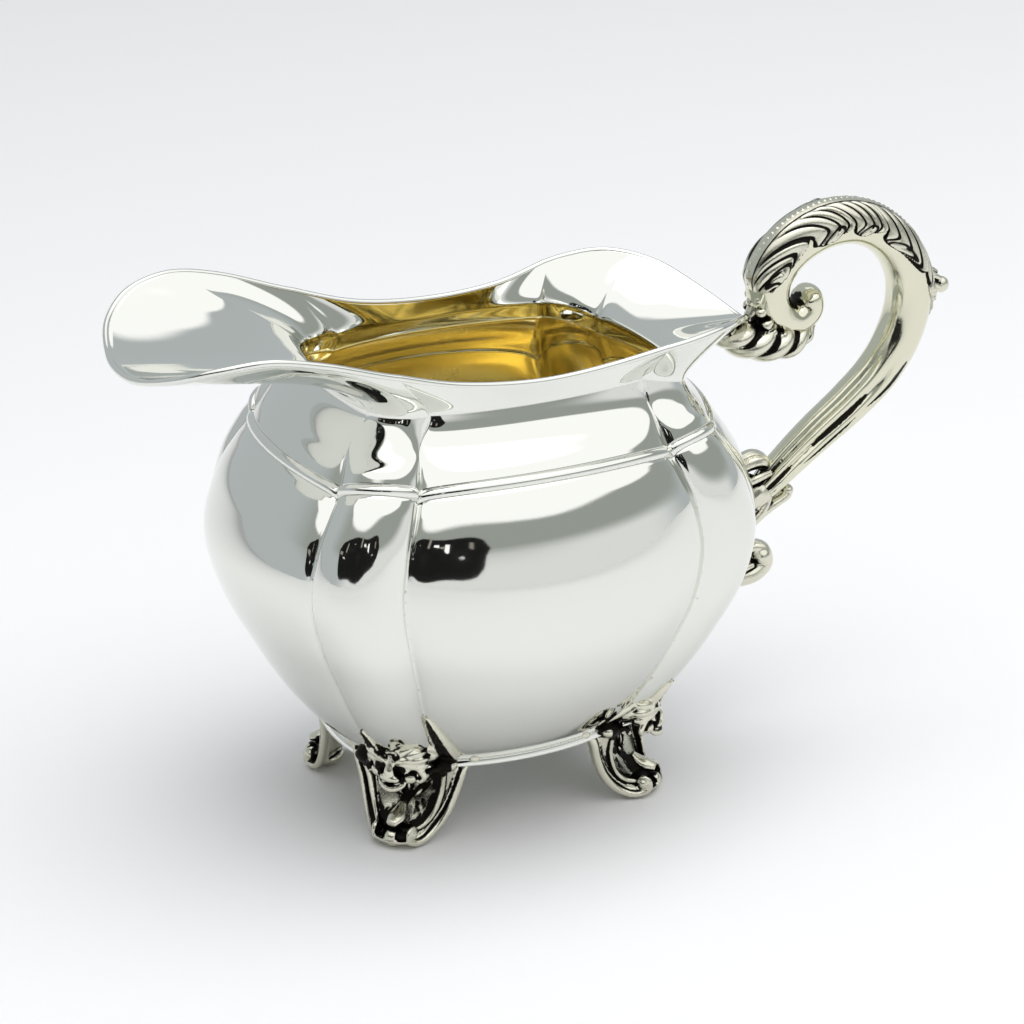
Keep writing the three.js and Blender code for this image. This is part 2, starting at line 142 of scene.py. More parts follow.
# centripetal Catmull-Rom through points, sampled evenly by length
def smoothPath(points, count, closed=False, dense=40):
    p = np.asarray(points, float)
    n = len(p)
    if closed:
        ext = np.vstack([p[-1], p, p[0], p[1]])
        segments = n
    else:
        ext = np.vstack([2 * p[0] - p[1], p, 2 * p[-1] - p[-2]])
        segments = n - 1
    out = []
    for k in range(segments):
        p0, p1, p2, p3 = ext[k:k + 4]
        d1 = max(np.linalg.norm(p1 - p0) ** 0.5, 1e-6)
        d2 = max(np.linalg.norm(p2 - p1) ** 0.5, 1e-6)
        d3 = max(np.linalg.norm(p3 - p2) ** 0.5, 1e-6)
        m1 = (p1 - p0) / d1 - (p2 - p0) / (d1 + d2) + (p2 - p1) / d2
        m2 = (p2 - p1) / d2 - (p3 - p1) / (d2 + d3) + (p3 - p2) / d3
        t = np.linspace(0, 1, dense, endpoint=False)[:, None]
        out.append(hermite(p1, p2, m1 * d2, m2 * d2, t))
    out = np.vstack(out + [p[:1] if closed else p[-1:]])
    length = np.r_[0, np.cumsum(np.linalg.norm(np.diff(out, axis=0), axis=1))]
    where = np.linspace(0, length[-1], count + (1 if closed else 0))
    even = np.stack([np.interp(where, length, out[:, k]) for k in range(out.shape[1])], 1)
    return even[:-1] if closed else even


# ---- geometry nodes helpers ----

def newTree(name, inputs):
    tree = bpy.data.node_groups.new(name, "GeometryNodeTree")
    tree.interface.new_socket("Geometry", in_out="INPUT", socket_type="NodeSocketGeometry")
    for label, kind, value in inputs:
        socket = tree.interface.new_socket(label, in_out="INPUT", socket_type="NodeSocket" + kind)
        if value is not None:
            socket.default_value = value
    tree.interface.new_socket("Geometry", in_out="OUTPUT", socket_type="NodeSocketGeometry")
    return tree, tree.nodes.new("NodeGroupInput"), tree.nodes.new("NodeGroupOutput")


def applyTree(obj, tree, values):
    mod = obj.modifiers.new(tree.name, "NODES")
    mod.node_group = tree
    ids = {s.name: s.identifier for s in tree.interface.items_tree if s.in_out == "INPUT"}
    for label, value in values.items():
        mod[ids[label]] = value
    graph = bpy.context.evaluated_depsgraph_get()
    graph.update()
    mesh = bpy.data.meshes.new_from_object(obj.evaluated_get(graph))
    obj.modifiers.remove(mod)
    obj.data = mesh
    mesh.polygons.foreach_set("use_smooth", [True] * len(mesh.polygons))
    return obj


# a round wire carried along every edge path of the input mesh
def wireTree():
    tree, inp, out = newTree("wireAlongPath", [
        ("Radius", "Float", 0.001), ("Sides", "Int", 16), ("Flatten", "Float", 1.0), ("Metal", "Material", None)])
    nodes, link = tree.nodes, tree.links.new
    toCurve = nodes.new("GeometryNodeMeshToCurve")
    circle = nodes.new("GeometryNodeCurvePrimitiveCircle")
    squash = nodes.new("GeometryNodeTransform")
    scale = nodes.new("ShaderNodeCombineXYZ")
    scale.inputs[0].default_value = 1.0
    scale.inputs[2].default_value = 1.0
    sweep = nodes.new("GeometryNodeCurveToMesh")
    sweep.inputs["Fill Caps"].default_value = True
    realize = nodes.new("GeometryNodeRealizeInstances")
    setMetal = nodes.new("GeometryNodeSetMaterial")
    link(inp.outputs["Geometry"], toCurve.inputs["Mesh"])
    link(inp.outputs["Sides"], circle.inputs["Resolution"])
    link(inp.outputs["Radius"], circle.inputs["Radius"])
    link(inp.outputs["Flatten"], scale.inputs[1])
    link(scale.outputs[0], squash.inputs["Scale"])
    link(circle.outputs["Curve"], squash.inputs["Geometry"])
    link(toCurve.outputs["Curve"], sweep.inputs["Curve"])
    link(squash.outputs["Geometry"], sweep.inputs["Profile Curve"])
    link(sweep.outputs["Mesh"], realize.inputs["Geometry"])
    link(realize.outputs["Geometry"], setMetal.inputs["Geometry"])
    link(inp.outputs["Metal"], setMetal.inputs["Material"])
    link(setMetal.outputs["Geometry"], out.inputs["Geometry"])
    return tree


def pathObject(name, points, closed):
    n = len(points)
    mesh = bpy.data.meshes.new(name)
    edges = [[i, (i + 1) % n] for i in range(n if closed else n - 1)]
    placed = (np.asarray(points) + [bodyX, 0, 0]) * mm
    mesh.from_pydata(placed.tolist(), edges, [])
    obj = bpy.data.objects.new(name, mesh)
    scene.collection.objects.link(obj)
    return obj


# ---- metals ----

# fine handling wear: a slow drift and fine hairlines, for roughness and for height
def wearGroup():
    tree = bpy.data.node_groups.new("handlingWear", "ShaderNodeTree")
    face = tree.interface
    for label, value in (("Scale", 120.0), ("Low", 0.03), ("High", 0.09)):
        face.new_socket(label, in_out="INPUT", socket_type="NodeSocketFloat").default_value = value
    face.new_socket("Roughness", in_out="OUTPUT", socket_type="NodeSocketFloat")
    face.new_socket("Height", in_out="OUTPUT", socket_type="NodeSocketFloat")
    nodes, link = tree.nodes, tree.links.new
    inp, out = nodes.new("NodeGroupInput"), nodes.new("NodeGroupOutput")
    coord = nodes.new("ShaderNodeTexCoord")
    slow = nodes.new("ShaderNodeTexNoise")
    slow.inputs["Detail"].default_value = 4
    fine = nodes.new("ShaderNodeTexNoise")
    fine.inputs["Detail"].default_value = 6
    fine.inputs["Distortion"].default_value = 1.5
    finer = nodes.new("ShaderNodeMath")
    finer.operation = "MULTIPLY"
    finer.inputs[1].default_value = 9.0
    spread = nodes.new("ShaderNodeMapRange")
    spread.inputs["From Min"].default_value = 0.3
    spread.inputs["From Max"].default_value = 0.7
    link(coord.outputs["Object"], slow.inputs["Vector"])
    link(coord.outputs["Object"], fine.inputs["Vector"])
    link(inp.outputs["Scale"], slow.inputs["Scale"])
    link(inp.outputs["Scale"], finer.inputs[0])
    link(finer.outputs[0], fine.inputs["Scale"])
    link(slow.outputs["Fac"], spread.inputs["Value"])
    link(inp.outputs["Low"], spread.inputs["To Min"])
    link(inp.outputs["High"], spread.inputs["To Max"])
    link(spread.outputs["Result"], out.inputs["Roughness"])
    link(fine.outputs["Fac"], out.inputs["Height"])
    return tree


# darkening held where the named attribute marks: oxide with painted shade in the hollows, painted shade along the
# creases and in the eye sockets and mouth, painted dark reflections along the arm's flutes
def recessGroup():
    tree = bpy.data.node_groups.new("oxideAndPaintedShade", "ShaderNodeTree")
    face = tree.interface
    for label, value in (("Low", 0.2), ("High", 0.7), ("Break Up", 0.25), ("Scale", 900.0)):
        face.new_socket(label, in_out="INPUT", socket_type="NodeSocketFloat").default_value = value
    face.new_socket("Polished", in_out="INPUT", socket_type="NodeSocketColor").default_value = (0.9, 0.88, 0.84, 1)
    face.new_socket("Oxide And Shade", in_out="INPUT", socket_type="NodeSocketColor").default_value = (0.02, 0.018, 0.016, 1)
    face.new_socket("Color", in_out="OUTPUT", socket_type="NodeSocketColor")
    face.new_socket("Mask", in_out="OUTPUT", socket_type="NodeSocketFloat")
    nodes, link = tree.nodes, tree.links.new
    inp, out = nodes.new("NodeGroupInput"), nodes.new("NodeGroupOutput")
    recess = nodes.new("ShaderNodeAttribute")
    recess.attribute_name = "recess"
    coord = nodes.new("ShaderNodeTexCoord")
    noise = nodes.new("ShaderNodeTexNoise")
    noise.inputs["Detail"].default_value = 4
    centred = nodes.new("ShaderNodeMath")
    centred.operation = "SUBTRACT"
    centred.inputs[1].default_value = 0.5
    shift = nodes.new("ShaderNodeMath")
    shift.operation = "MULTIPLY_ADD"
    ramp = nodes.new("ShaderNodeMapRange")
    ramp.interpolation_type = "SMOOTHSTEP"
    mix = nodes.new("ShaderNodeMix")
    mix.data_type = "RGBA"
    link(coord.outputs["Object"], noise.inputs["Vector"])
    link(inp.outputs["Scale"], noise.inputs["Scale"])
    link(noise.outputs["Fac"], centred.inputs[0])
    link(centred.outputs[0], shift.inputs[0])
    link(inp.outputs["Break Up"], shift.inputs[1])
    link(recess.outputs["Fac"], shift.inputs[2])
    link(shift.outputs[0], ramp.inputs["Value"])
    link(inp.outputs["Low"], ramp.inputs["From Min"])
    link(inp.outputs["High"], ramp.inputs["From Max"])
    link(ramp.outputs["Result"], mix.inputs[0])
    link(inp.outputs["Polished"], mix.inputs[6])
    link(inp.outputs["Oxide And Shade"], mix.inputs[7])
    link(mix.outputs[2], out.inputs["Color"])
    link(ramp.outputs["Result"], out.inputs["Mask"])
    return tree


wear = wearGroup()
recess = recessGroup()


def metal(name, values):
    mat = bpy.data.materials.new(name)
    mat.use_nodes = True
    nodes, link = mat.node_tree.nodes, mat.node_tree.links.new
    shader = nodes["Principled BSDF"]
    shader.inputs["Metallic"].default_value = 1.0
    worn = nodes.new("ShaderNodeGroup")
    worn.node_tree = wear
    worn.inputs["Scale"].default_value = values["wearScale"]
    worn.inputs["Low"].default_value = values["rough"][0]
    worn.inputs["High"].default_value = values["rough"][1]
    darkening = nodes.new("ShaderNodeGroup")
    darkening.node_tree = recess
    darkening.inputs["Low"].default_value = values["recess"][0]
    darkening.inputs["High"].default_value = values["recess"][1]
    darkening.inputs["Break Up"].default_value = values["breakUp"]
    darkening.inputs["Scale"].default_value = values["speckScale"]
    darkening.inputs["Polished"].default_value = (*values["colour"], 1)
    darkening.inputs["Oxide And Shade"].default_value = (*values["oxideAndShade"], 1)
    rougher = nodes.new("ShaderNodeMath")
    rougher.operation = "MULTIPLY_ADD"
    rougher.inputs[1].default_value = values["oxideAndShadeRough"]
    bump = nodes.new("ShaderNodeBump")
    bump.inputs["Strength"].default_value = values["bump"]
    bump.inputs["Distance"].default_value = 0.0001
    link(darkening.outputs["Color"], shader.inputs["Base Color"])
    link(darkening.outputs["Mask"], rougher.inputs[0])
    link(worn.outputs["Roughness"], rougher.inputs[2])
    link(rougher.outputs[0], shader.inputs["Roughness"])
    link(worn.outputs["Height"], bump.inputs["Height"])
    link(bump.outputs["Normal"], shader.inputs["Normal"])
    return mat


# the dark colour of each metal is mixed in where the recess attribute is high: painted shade along the body's creases,
# oxide with painted shade in the castings' hollows, painted dark reflections on the arm
polishedSilver = metal("polishedSilver", dict(
    colour=(0.79, 0.797, 0.75), oxideAndShade=(0.05, 0.04, 0.03), wearScale=60, rough=(0.03, 0.06),
    recess=(0.55, 0.75), breakUp=1.1, speckScale=1400, oxideAndShadeRough=0.3, bump=0.02))
castSilver = metal("castSilver", dict(
    colour=(0.72, 0.71, 0.565), oxideAndShade=(0.016, 0.014, 0.011), wearScale=140, rough=(0.06, 0.14),
    recess=(0.25, 0.7), breakUp=0.2, speckScale=900, oxideAndShadeRough=0.35, bump=0.1))
chasedSilver = metal("chasedSilver", dict(
    colour=(0.70, 0.685, 0.57), oxideAndShade=(0.014, 0.012, 0.01), wearScale=260, rough=(0.14, 0.27),
    recess=(0.22, 0.66), breakUp=0.35, speckScale=1300, oxideAndShadeRough=0.3, bump=0.3))
satinGilt = metal("satinGilt", dict(
    colour=(1.0, 0.85, 0.40), oxideAndShade=(0.25, 0.14, 0.03), wearScale=90, rough=(0.16, 0.28),
    recess=(0.5, 1.0), breakUp=0.3, speckScale=500, oxideAndShadeRough=0.1, bump=0.06))
print("metals ready")


# ---- body ----

body = dict(
    wall=1.1, overlap=0.6, shoulder=69.5,
    sideCrease=(28.2, 31.7), endCrease=(41.9, 23.4),
    bulge=dict(end=7.4, corner=4.0, side=8.92),
    columns=dict(end=56, corner=38, side=76), creaseEase=0.55,
    # level, scale along x, scale along y, fullness of the wide lobes, of the corner lobes
    profile=[
        [15.4, 0.61, 0.58, 0.75, 0.7], [19.5, 0.675, 0.67, 0.9, 0.85], [26.0, 0.77, 0.775, 0.97, 0.95],
        [34.5, 0.865, 0.89, 1.0, 1.0], [43.5, 0.955, 0.98, 1.0, 1.0], [53.0, 1.0, 1.0, 1.0, 1.0],
        [61.0, 0.955, 0.965, 0.92, 1.0], [66.5, 0.88, 0.9, 0.85, 0.95], [69.5, 0.835, 0.85, 0.75, 0.9],
        [74.5, 0.79, 0.775, 0.6, 0.95], [78.5, 0.755, 0.695, 0.5, 0.95], [82.0, 0.745, 0.67, 0.4, 0.8]],
    rimHalf=[
        [-66.8, 0, 89.5], [-66, 7, 89.9], [-62.9, 16.3, 92.7], [-57, 22.3, 95.5],
        [-49, 24.8, 96.7], [-39.5, 25.5, 95], [-27, 24.5, 90.9], [-14, 23.2, 87.2],
        [0, 23.4, 85.8], [14, 23.7, 86.4], [27.5, 25.4, 88.7], [36, 23.5, 89.4],
        [43, 17.5, 88], [48.5, 9, 84.2], [52.2, 0, 80.7]],
    rimCreaseX=(-49, -26, 24.3, 40),
    throat=dict(side=81.8, back=78.6, spout=81.8), gildTop=dict(side=79.6, back=76.2, spout=80.6),
    spoutPinch=0.1,
    wire=0.6, bead=1.05, arch=dict(end=2.2, corner=2.6, side=2.4))

lobeKind = ["end", "corner", "side", "corner", "end", "corner", "side", "corner"]
lobeOf = np.concatenate([np.full(body["columns"][k], i) for i, k in enumerate(lobeKind)])
partOf = np.concatenate([np.arange(body["columns"][k]) / body["columns"][k] for k in lobeKind])
partOf = (1 - body["creaseEase"]) * partOf + body["creaseEase"] * (0.5 - 0.5 * np.cos(np.pi * partOf))
crown = 1 - (2 * partOf - 1) ** 2


archHeight = np.array([body["arch"][k] for k in lobeKind])[lobeOf]


def archAt(level):
    return archHeight * smoothStep(level, 55, 67.5) * (1 - smoothStep(level, 71, 77))


# one closed ring of the lobed plan; level is one number or one for every column
def lobedRing(level):
    level = np.broadcast_to(np.asarray(level, float), lobeOf.shape)
    sx, sy, fullWide, fullCorner = (tableAt(body["profile"], level, k) for k in (1, 2, 3, 4))
    full = np.where(lobeOf % 2 == 1, fullCorner, fullWide)
    sideX, sideY = body["sideCrease"]
    endX, endY = body["endCrease"]
    cornerX = np.array([endX, endX, sideX, -sideX, -endX, -endX, -sideX, sideX])
    cornerY = np.array([-endY, endY, sideY, sideY, endY, -endY, -sideY, -sideY])
    ax, ay = cornerX[lobeOf] * sx, cornerY[lobeOf] * sy
    bx, by = cornerX[(lobeOf + 1) % 8] * sx, cornerY[(lobeOf + 1) % 8] * sy
    length = np.hypot(bx - ax, by - ay)
    tall = np.array([body["bulge"][k] for k in lobeKind])[lobeOf]
    height = tall * full * (sx + sy) / 2 * crown ** 0.78
    x = ax + (bx - ax) * partOf + (by - ay) / length * height
    y = ay + (by - ay) * partOf - (bx - ax) / length * height
    x = np.where(x < 0, x * (1 - body["spoutPinch"] * smoothStep(level, 76, 81.5)), x)
    return np.stack([x, y, level + archAt(level) * crown ** 0.42], 1)


bowlTop = body["shoulder"] - body["overlap"]
neckBottom = body["shoulder"] + body["overlap"]
bowlLevels = 15.4 + (bowlTop - 15.4) * (np.linspace(0, 1, 90) ** 1.15)
bowlOutside = np.stack([lobedRing(z) for z in bowlLevels])

# the closed rim edge and where each lobe crease runs out on it
rimPoints = body["rimHalf"] + [[x, -y, z] for x, y, z in reversed(body["rimHalf"][1:-1])]
rimDense = smoothPath(rimPoints, 1600, closed=True)


def rimAt(travel):
    u = np.mod(0.5 - np.asarray(travel), 1.0) * len(rimDense)
    i = np.floor(u).astype(int) % len(rimDense)
    f = (u - np.floor(u))[..., None]
    return rimDense[i] * (1 - f) + rimDense[(i + 1) % len(rimDense)] * f


half = rimDense[:len(rimDense) // 2]
spoutCorner, spoutSide, backSide, backCorner = (
    0.5 - np.argmax(half[:, 0] > x) / len(rimDense) for x in body["rimCreaseX"])
rimStops = np.array([-backCorner, backCorner, backSide, spoutSide, spoutCorner,
                     1 - spoutCorner, 1 - spoutSide, 1 - backSide, 1 - backCorner])
rimEdge = rimAt(rimStops[lobeOf] * (1 - partOf) + rimStops[lobeOf + 1] * partOf)



# a level that differs between the back, the sides and the spout, for every column
def levelRound(low):
    stops = np.array([low["back"], low["back"], low["side"], low["side"],
                      low["spout"], low["spout"], low["side"], low["side"], low["back"]])
    return stops[lobeOf] * (1 - partOf) + stops[lobeOf + 1] * partOf


throatLevel = levelRound(body["throat"])
neckRings = [lobedRing(neckBottom + (throatLevel - neckBottom) * f) for f in np.linspace(0, 0.985, 26)]
throatRing = lobedRing(throatLevel)
reach = np.linalg.norm(rimEdge - throatRing, axis=1, keepdims=True)
shellEdge = rimEdge + (throatRing - rimEdge) / reach * (0.9 * body["wire"])


def flareRing(f):
    run = shellEdge - throatRing
    rise = np.zeros_like(run)
    rise[:, 2:] = reach * 0.42
    return hermite(throatRing, shellEdge, rise, run, f)


flareRings = [flareRing(f) for f in np.linspace(0, 1, 44) ** 1.25]
neckOutside = np.stack(neckRings + flareRings)


# outside and inside walls of a sheet, the inside one moved in by the wall
def sheetRings(outside, wall):
    inside = outside - gridNormals(outside) * wall
    return inside


bowlInside = sheetRings(bowlOutside, body["wall"])
bowlInside[0, :, 2] = bowlOutside[0, :, 2] + body["wall"]
bowlInside[-1, :, 2] = bowlOutside[-1, :, 2]
neckInside = sheetRings(neckOutside, body["wall"])
neckInside[0, :, 2] = neckOutside[0, :, 2]

bowlBody = loftObject("bowl_body", np.concatenate([bowlOutside, bowlInside[::-3]]))
neckBody = loftObject("neck_and_spout", np.concatenate([neckOutside, neckInside[::-1]]), closed="loop")

# how near each column lies to a lobe crease, for the painted shade along the creases
lobeLength = np.array([42.0 if k == "end" else 56.0 if k == "side" else 16.0 for k in lobeKind])[lobeOf]
nearCrease = np.clip(1.25 - np.minimum(partOf, 1 - partOf) * lobeLength / 0.55, 0, 1)


# painted shade along the lobe creases, the same up every ring
def creasePaintedShade(rings):
    return nearCrease[None, :] * np.ones(len(rings))[:, None]


# writes the painted crease shade into the recess attribute
def paintRings(obj, rings):
    values = np.zeros(len(obj.data.vertices))
    darkening = creasePaintedShade(rings).ravel() * 0.47
    values[:len(darkening)] = darkening
    setAttribute(obj, "recess", values)


paintRings(bowlBody, bowlOutside)
paintRings(neckBody, neckOutside)

# gilding: a thin lining from below the throat down to the bottom of the bowl
gildLevel = levelRound(body["gildTop"])
liningNeck = np.stack([lobedRing(neckBottom + (gildLevel - neckBottom) * f) for f in np.linspace(0, 1, 16)])
liningNeck = liningNeck - gridNormals(liningNeck) * body["wall"]
lining = np.concatenate([bowlInside[:-1:2], liningNeck])
liningIn = lining - gridNormals(lining) * 0.14
liningOut = lining - gridNormals(lining) * 0.04
liningIn[0, :, 2] = lining[0, :, 2] + 0.14
liningOut[0, :, 2] = lining[0, :, 2] + 0.04
gilding = loftObject("bowl_gilding", np.concatenate([liningOut, liningIn[::-1]]))
setAttribute(gilding, "recess", np.zeros(len(gilding.data.vertices)))

for piece, slotName, node, mat in (
        (bowlBody, "silver_sheet", "bowl_shell", polishedSilver),
        (neckBody, "silver_sheet", "neck_shell", polishedSilver),
        (gilding, "gilt", None, satinGilt)):
    piece.data.materials.append(mat)
    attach(piece, "root")
    if node:
        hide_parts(node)

# shoulder bead and rim wire
wires = wireTree()
shoulderPair = np.stack([lobedRing(body["shoulder"]), lobedRing(body["shoulder"] + 0.8)])
shoulderLine = (shoulderPair - gridNormals(shoulderPair) * (body["wall"] / 2 - 0.1))[0]
rimLine = shellEdge - gridNormals(neckOutside)[-1] * body["wall"] / 2
for name, node, line, radius in (
        ("shoulder_bead", "shoulder_moulding", shoulderLine, body["bead"]),
        ("rim_wire_round", "rim_wire", rimLine, body["wire"])):
    wire = applyTree(pathObject(name, line, True), wires, {
        "Radius": radius * mm, "Sides": 20, "Flatten": 1.0, "Metal": polishedSilver})
    setAttribute(wire, "recess", np.zeros(len(wire.data.vertices)))
    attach(wire, "root")
    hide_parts(node)
print("body ready")


# ---- castings ----

def joinParts(parts):
    points, faces = [], []
    base = 0
    for rings in parts:
        rows, columns = rings.shape[:2]
        local = rings.reshape(-1, 3)
        some = gridFaces(rows, columns)
        hub = len(local)
        local = np.vstack([local, rings[0].mean(0), rings[-1].mean(0)])
        for i in range(columns):
            j = (i + 1) % columns
            some.append([hub, j, i])
            some.append([hub + 1, (rows - 1) * columns + i, (rows - 1) * columns + j])
        some = faceOut(local, some)
        points.append(local)
        faces += [[q + base for q in f] for f in some]
        base += len(local)
    return np.vstack(points), faces


# fuse overlapping closed parts into one skin, cut flat at the table
def castMesh(name, parts, voxel):
    points, faces = joinParts(parts)
    piece = makeObject(name, points, faces)
    fuse = piece.modifiers.new("fuse", "REMESH")
    fuse.mode = "VOXEL"
    fuse.voxel_size = voxel * mm
    graph = bpy.context.evaluated_depsgraph_get()
    graph.update()
    mesh = bpy.data.meshes.new_from_object(piece.evaluated_get(graph))
    piece.modifiers.clear()
    piece.data = mesh
    co = np.empty(len(mesh.vertices) * 3)
    mesh.vertices.foreach_get("co", co)
    co = co.reshape(-1, 3)
    co[:, 2] = np.maximum(co[:, 2], 0.0)
    mesh.vertices.foreach_set("co", co.ravel())
    mesh.polygons.foreach_set("use_smooth", [True] * len(mesh.polygons))
    mesh.update()
    print(name, len(mesh.polygons))
    return piece


# ---- handle ----

handle = dict(
    # centre line in the plane of the handle: x, z, half thickness, half width across
    arm=[
        [51.5, 43.6, 1.9, 2.7], [55.2, 46.0, 2.3, 3.0], [58.6, 48.6, 2.8, 3.4], [62.6, 52.0, 3.2, 3.7], [68.2, 56.4, 3.6, 4.0],
        [74.8, 61.2, 3.9, 4.2], [80.6, 66.4, 4.1, 4.3], [84.9, 73.0, 4.2, 4.4], [86.6, 79.6, 4.2, 4.4],
        [85.8, 85.6, 4.0, 4.4], [82.0, 91.7, 3.8, 4.3], [75.6, 95.8, 3.9, 4.3], [68.3, 96.3, 4.2, 4.3],
        [61.4, 93.4, 4.3, 4.3], [57.5, 88.6, 4.1, 4.3], [57.2, 84.0, 3.8, 4.2], [59.3, 80.8, 3.4, 4.1],
        [62.5, 79.7, 3.1, 4.0], [65.0, 81.3, 2.9, 4.0], [65.1, 83.8, 2.5, 3.8], [64.4, 85.3, 1.7, 3.2]],
    rows=420, columns=96, leafSpan=(0.42, 0.86), leafRows=460, leafColumns=144,
    fluteDepth=0.85, leafThick=0.95, sweep=13.0, curl=5.0, period=9.5, strands=4, eye=1.0,
    # painted dark reflections along the flutes: girth angle in degrees, first and last share of the arm, breadth
    streaks=[(62, 0.03, 0.08, 0.5), (62, 0.13, 0.25, 0.75), (65, 0.27, 0.37, 0.8), (103, 0.04, 0.12, 0.6),
             (103, 0.16, 0.29, 0.7), (146, 0.03, 0.12, 0.5)])


# frames along a path in the plane y = 0
def pathFrames(path, count, span=(0.0, 1.0)):
    path = np.asarray(path, float)
    dense = smoothPath(path, 4000)
    pick = np.linspace(span[0], span[1], count) * (len(dense) - 1)
    i = np.clip(np.floor(pick).astype(int), 0, len(dense) - 2)
    f = (pick - i)[:, None]
    rows = dense[i] * (1 - f) + dense[i + 1] * f
    at = np.stack([rows[:, 0], np.zeros(count), rows[:, 1]], 1)
    along = np.gradient(at, axis=0)
    along /= np.linalg.norm(along, axis=1, keepdims=True)
    out = np.stack([along[:, 2], np.zeros(count), -along[:, 0]], 1)
    length = np.r_[0, np.cumsum(np.linalg.norm(np.diff(at, axis=0), axis=1))]
    return at, out, rows[:, 2], rows[:, 3], length


def tubeRings(at, out, thick, wide, angles, extra):
    c, s = np.cos(angles), np.sin(angles)
    rings = at[:, None, :] + out[:, None, :] * ((thick[:, None] + extra) * c[None, :])[..., None]
    rings[..., 1] += (wide[:, None] + extra) * s[None, :]
    return rings


# rounded ends: the last few rings close in on the centre
def domeEnds(rings, rowsToClose, both=True):
    rings = rings.copy()
    for k in range(rowsToClose):
        f = math.sqrt(max(0.0, 1 - (1 - k / rowsToClose) ** 2))
        for row in ((k, len(rings) - 1 - k) if both else (len(rings) - 1 - k,)):
            middle = rings[row].mean(0)
            rings[row] = middle + (rings[row] - middle) * max(f, 0.02)
    return rings


# a hollow value for every vertex: how much of the open air over it is closed off nearby. It darkens the metal in the
# hollows as oxide with painted shade, and the dark places passed in are held fully dark: painted shade on the feet,
# painted dark reflections on the arm
def paintDepth(obj, distance, low, high, dark=(), rays=22):
    mesh = obj.data
    tree = BVHTree.FromPolygons([v.co for v in mesh.vertices], [p.vertices for p in mesh.polygons])
    rng = np.random.default_rng(5)
    spread = rng.normal(size=(rays, 3))
    spread = [Vector(d / np.linalg.norm(d)) for d in spread]
    closed = np.zeros(len(mesh.vertices))
    for i, v in enumerate(mesh.vertices):
        normal = v.normal
        start = v.co + normal * (0.08 * mm)
        blocked = 0.0
        for d in spread:
            way = (d + normal * 1.05).normalized()
            hit = tree.ray_cast(start, way, distance * mm)
            if hit[0] is not None:
                blocked += 1 - 0.5 * hit[3] / (distance * mm)
        closed[i] = blocked / rays
    hollow = smoothStep(closed, low, high)
    if len(dark):
        places = np.array([v.co for v in mesh.vertices]) / mm - [bodyX, 0, 0]
        for x, y, z, radius in dark:
            away = np.linalg.norm(places - [x, y, z], axis=1)
            hollow = np.maximum(hollow, 1 - smoothStep(away, radius * 0.85, radius * 1.1))
    setAttribute(obj, "recess", hollow)


def finishCast(obj, node, mat=None):
    obj.data.materials.clear()
    obj.data.materials.append(mat or castSilver)
    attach(obj, "root")
    if node:
        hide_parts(node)


girth = np.linspace(0, 2 * np.pi, handle["columns"], endpoint=False)
at, out, thick, wide, length = pathFrames(handle["arm"], handle["rows"])
where = length / length[-1]
flank = np.abs((girth + np.pi) % (2 * np.pi) - np.pi)
flute = np.zeros((handle["rows"], handle["columns"]))
for angle, breadth in ((62, 11), (103, 12), (146, 10)):
    line = np.exp(-((np.degrees(flank) - angle) / breadth) ** 2)
    flute -= handle["fluteDepth"] * line[None, :]
fluteStrength = smoothStep(where, 0.0, 0.05) * (1 - smoothStep(where, 0.26, 0.40))
armRings = domeEnds(tubeRings(at, out, thick, wide, girth, flute * fluteStrength[:, None]), 8)
arm = castMesh("handle_scroll", [armRings], 0.3)
# dark streaks painted along the flutes stand in for dark reflections; the arm's hollows get oxide with painted shade
streakPlaces = []
for angle, first, last, breadth in handle["streaks"]:
    column = int(round(angle / 360 * handle["columns"]))
    rows = np.arange(int(first * handle["rows"]), int(last * handle["rows"]), 2)
    swell = np.maximum(np.sin(np.pi * (rows - rows[0]) / (rows[-1] - rows[0])), 0) ** 0.5
    for j in (column, handle["columns"] - column):
        streakPlaces += [(*armRings[i, j], breadth * (0.25 + 0.75 * w)) for i, w in zip(rows, swell)]
paintDepth(arm, 3.0, 0.10, 0.30, streakPlaces)
finishCast(arm, "handle_arm")

# acanthus relief: leaves that leave the crest along the arm and turn in across it, each of a few strands
leafAngles = np.linspace(0, 2 * np.pi, handle["leafColumns"], endpoint=False)
at, out, thick, wide, length = pathFrames(handle["arm"], handle["leafRows"], handle["leafSpan"])
run = (length[-1] - length)[:, None]
side = np.degrees(np.abs((leafAngles + np.pi) % (2 * np.pi) - np.pi))[None, :]
across = np.radians(side) * 4.7
phase = (run - handle["sweep"] * np.sqrt(side / 100) + handle["curl"] * smoothStep(side, 66, 110) ** 1.5
         ) / handle["period"] + 0.22 * np.sin(run * 0.23 + 1.0)
part = np.mod(phase, 1)
strands = np.abs(np.sin(np.pi * handle["strands"] * part ** 1.15)) ** 0.62
carved = smoothStep(side, 14, 34)
step = handle["period"] * np.minimum(part, 1 - part)
limit = 78 + 33 * np.sin(np.pi * part) ** 0.7
limit = limit * (1 - 0.8 * smoothStep(run, length[-1] - 15, length[-1]))
limit = limit * (0.72 + 0.28 * smoothStep(run, 0, 9))
tall = handle["leafThick"] * (0.25 + 0.75 * part ** 0.8) * (1 - 0.75 * smoothStep(part, 0.93, 1.0))
relief = 0.55 * (1 - carved) + tall * carved * (0.35 + 0.65 * strands) + 0.1
fromEye = np.hypot((part - 0.55) * handle["period"], (side - limit + 15) * 0.082) / handle["eye"]
eye = np.exp(-fromEye ** 2)
relief = relief + 0.5 * eye * carved
inside = 1 - smoothStep(side, limit - 5, limit)
relief = relief * inside - 0.45 * (1 - inside)
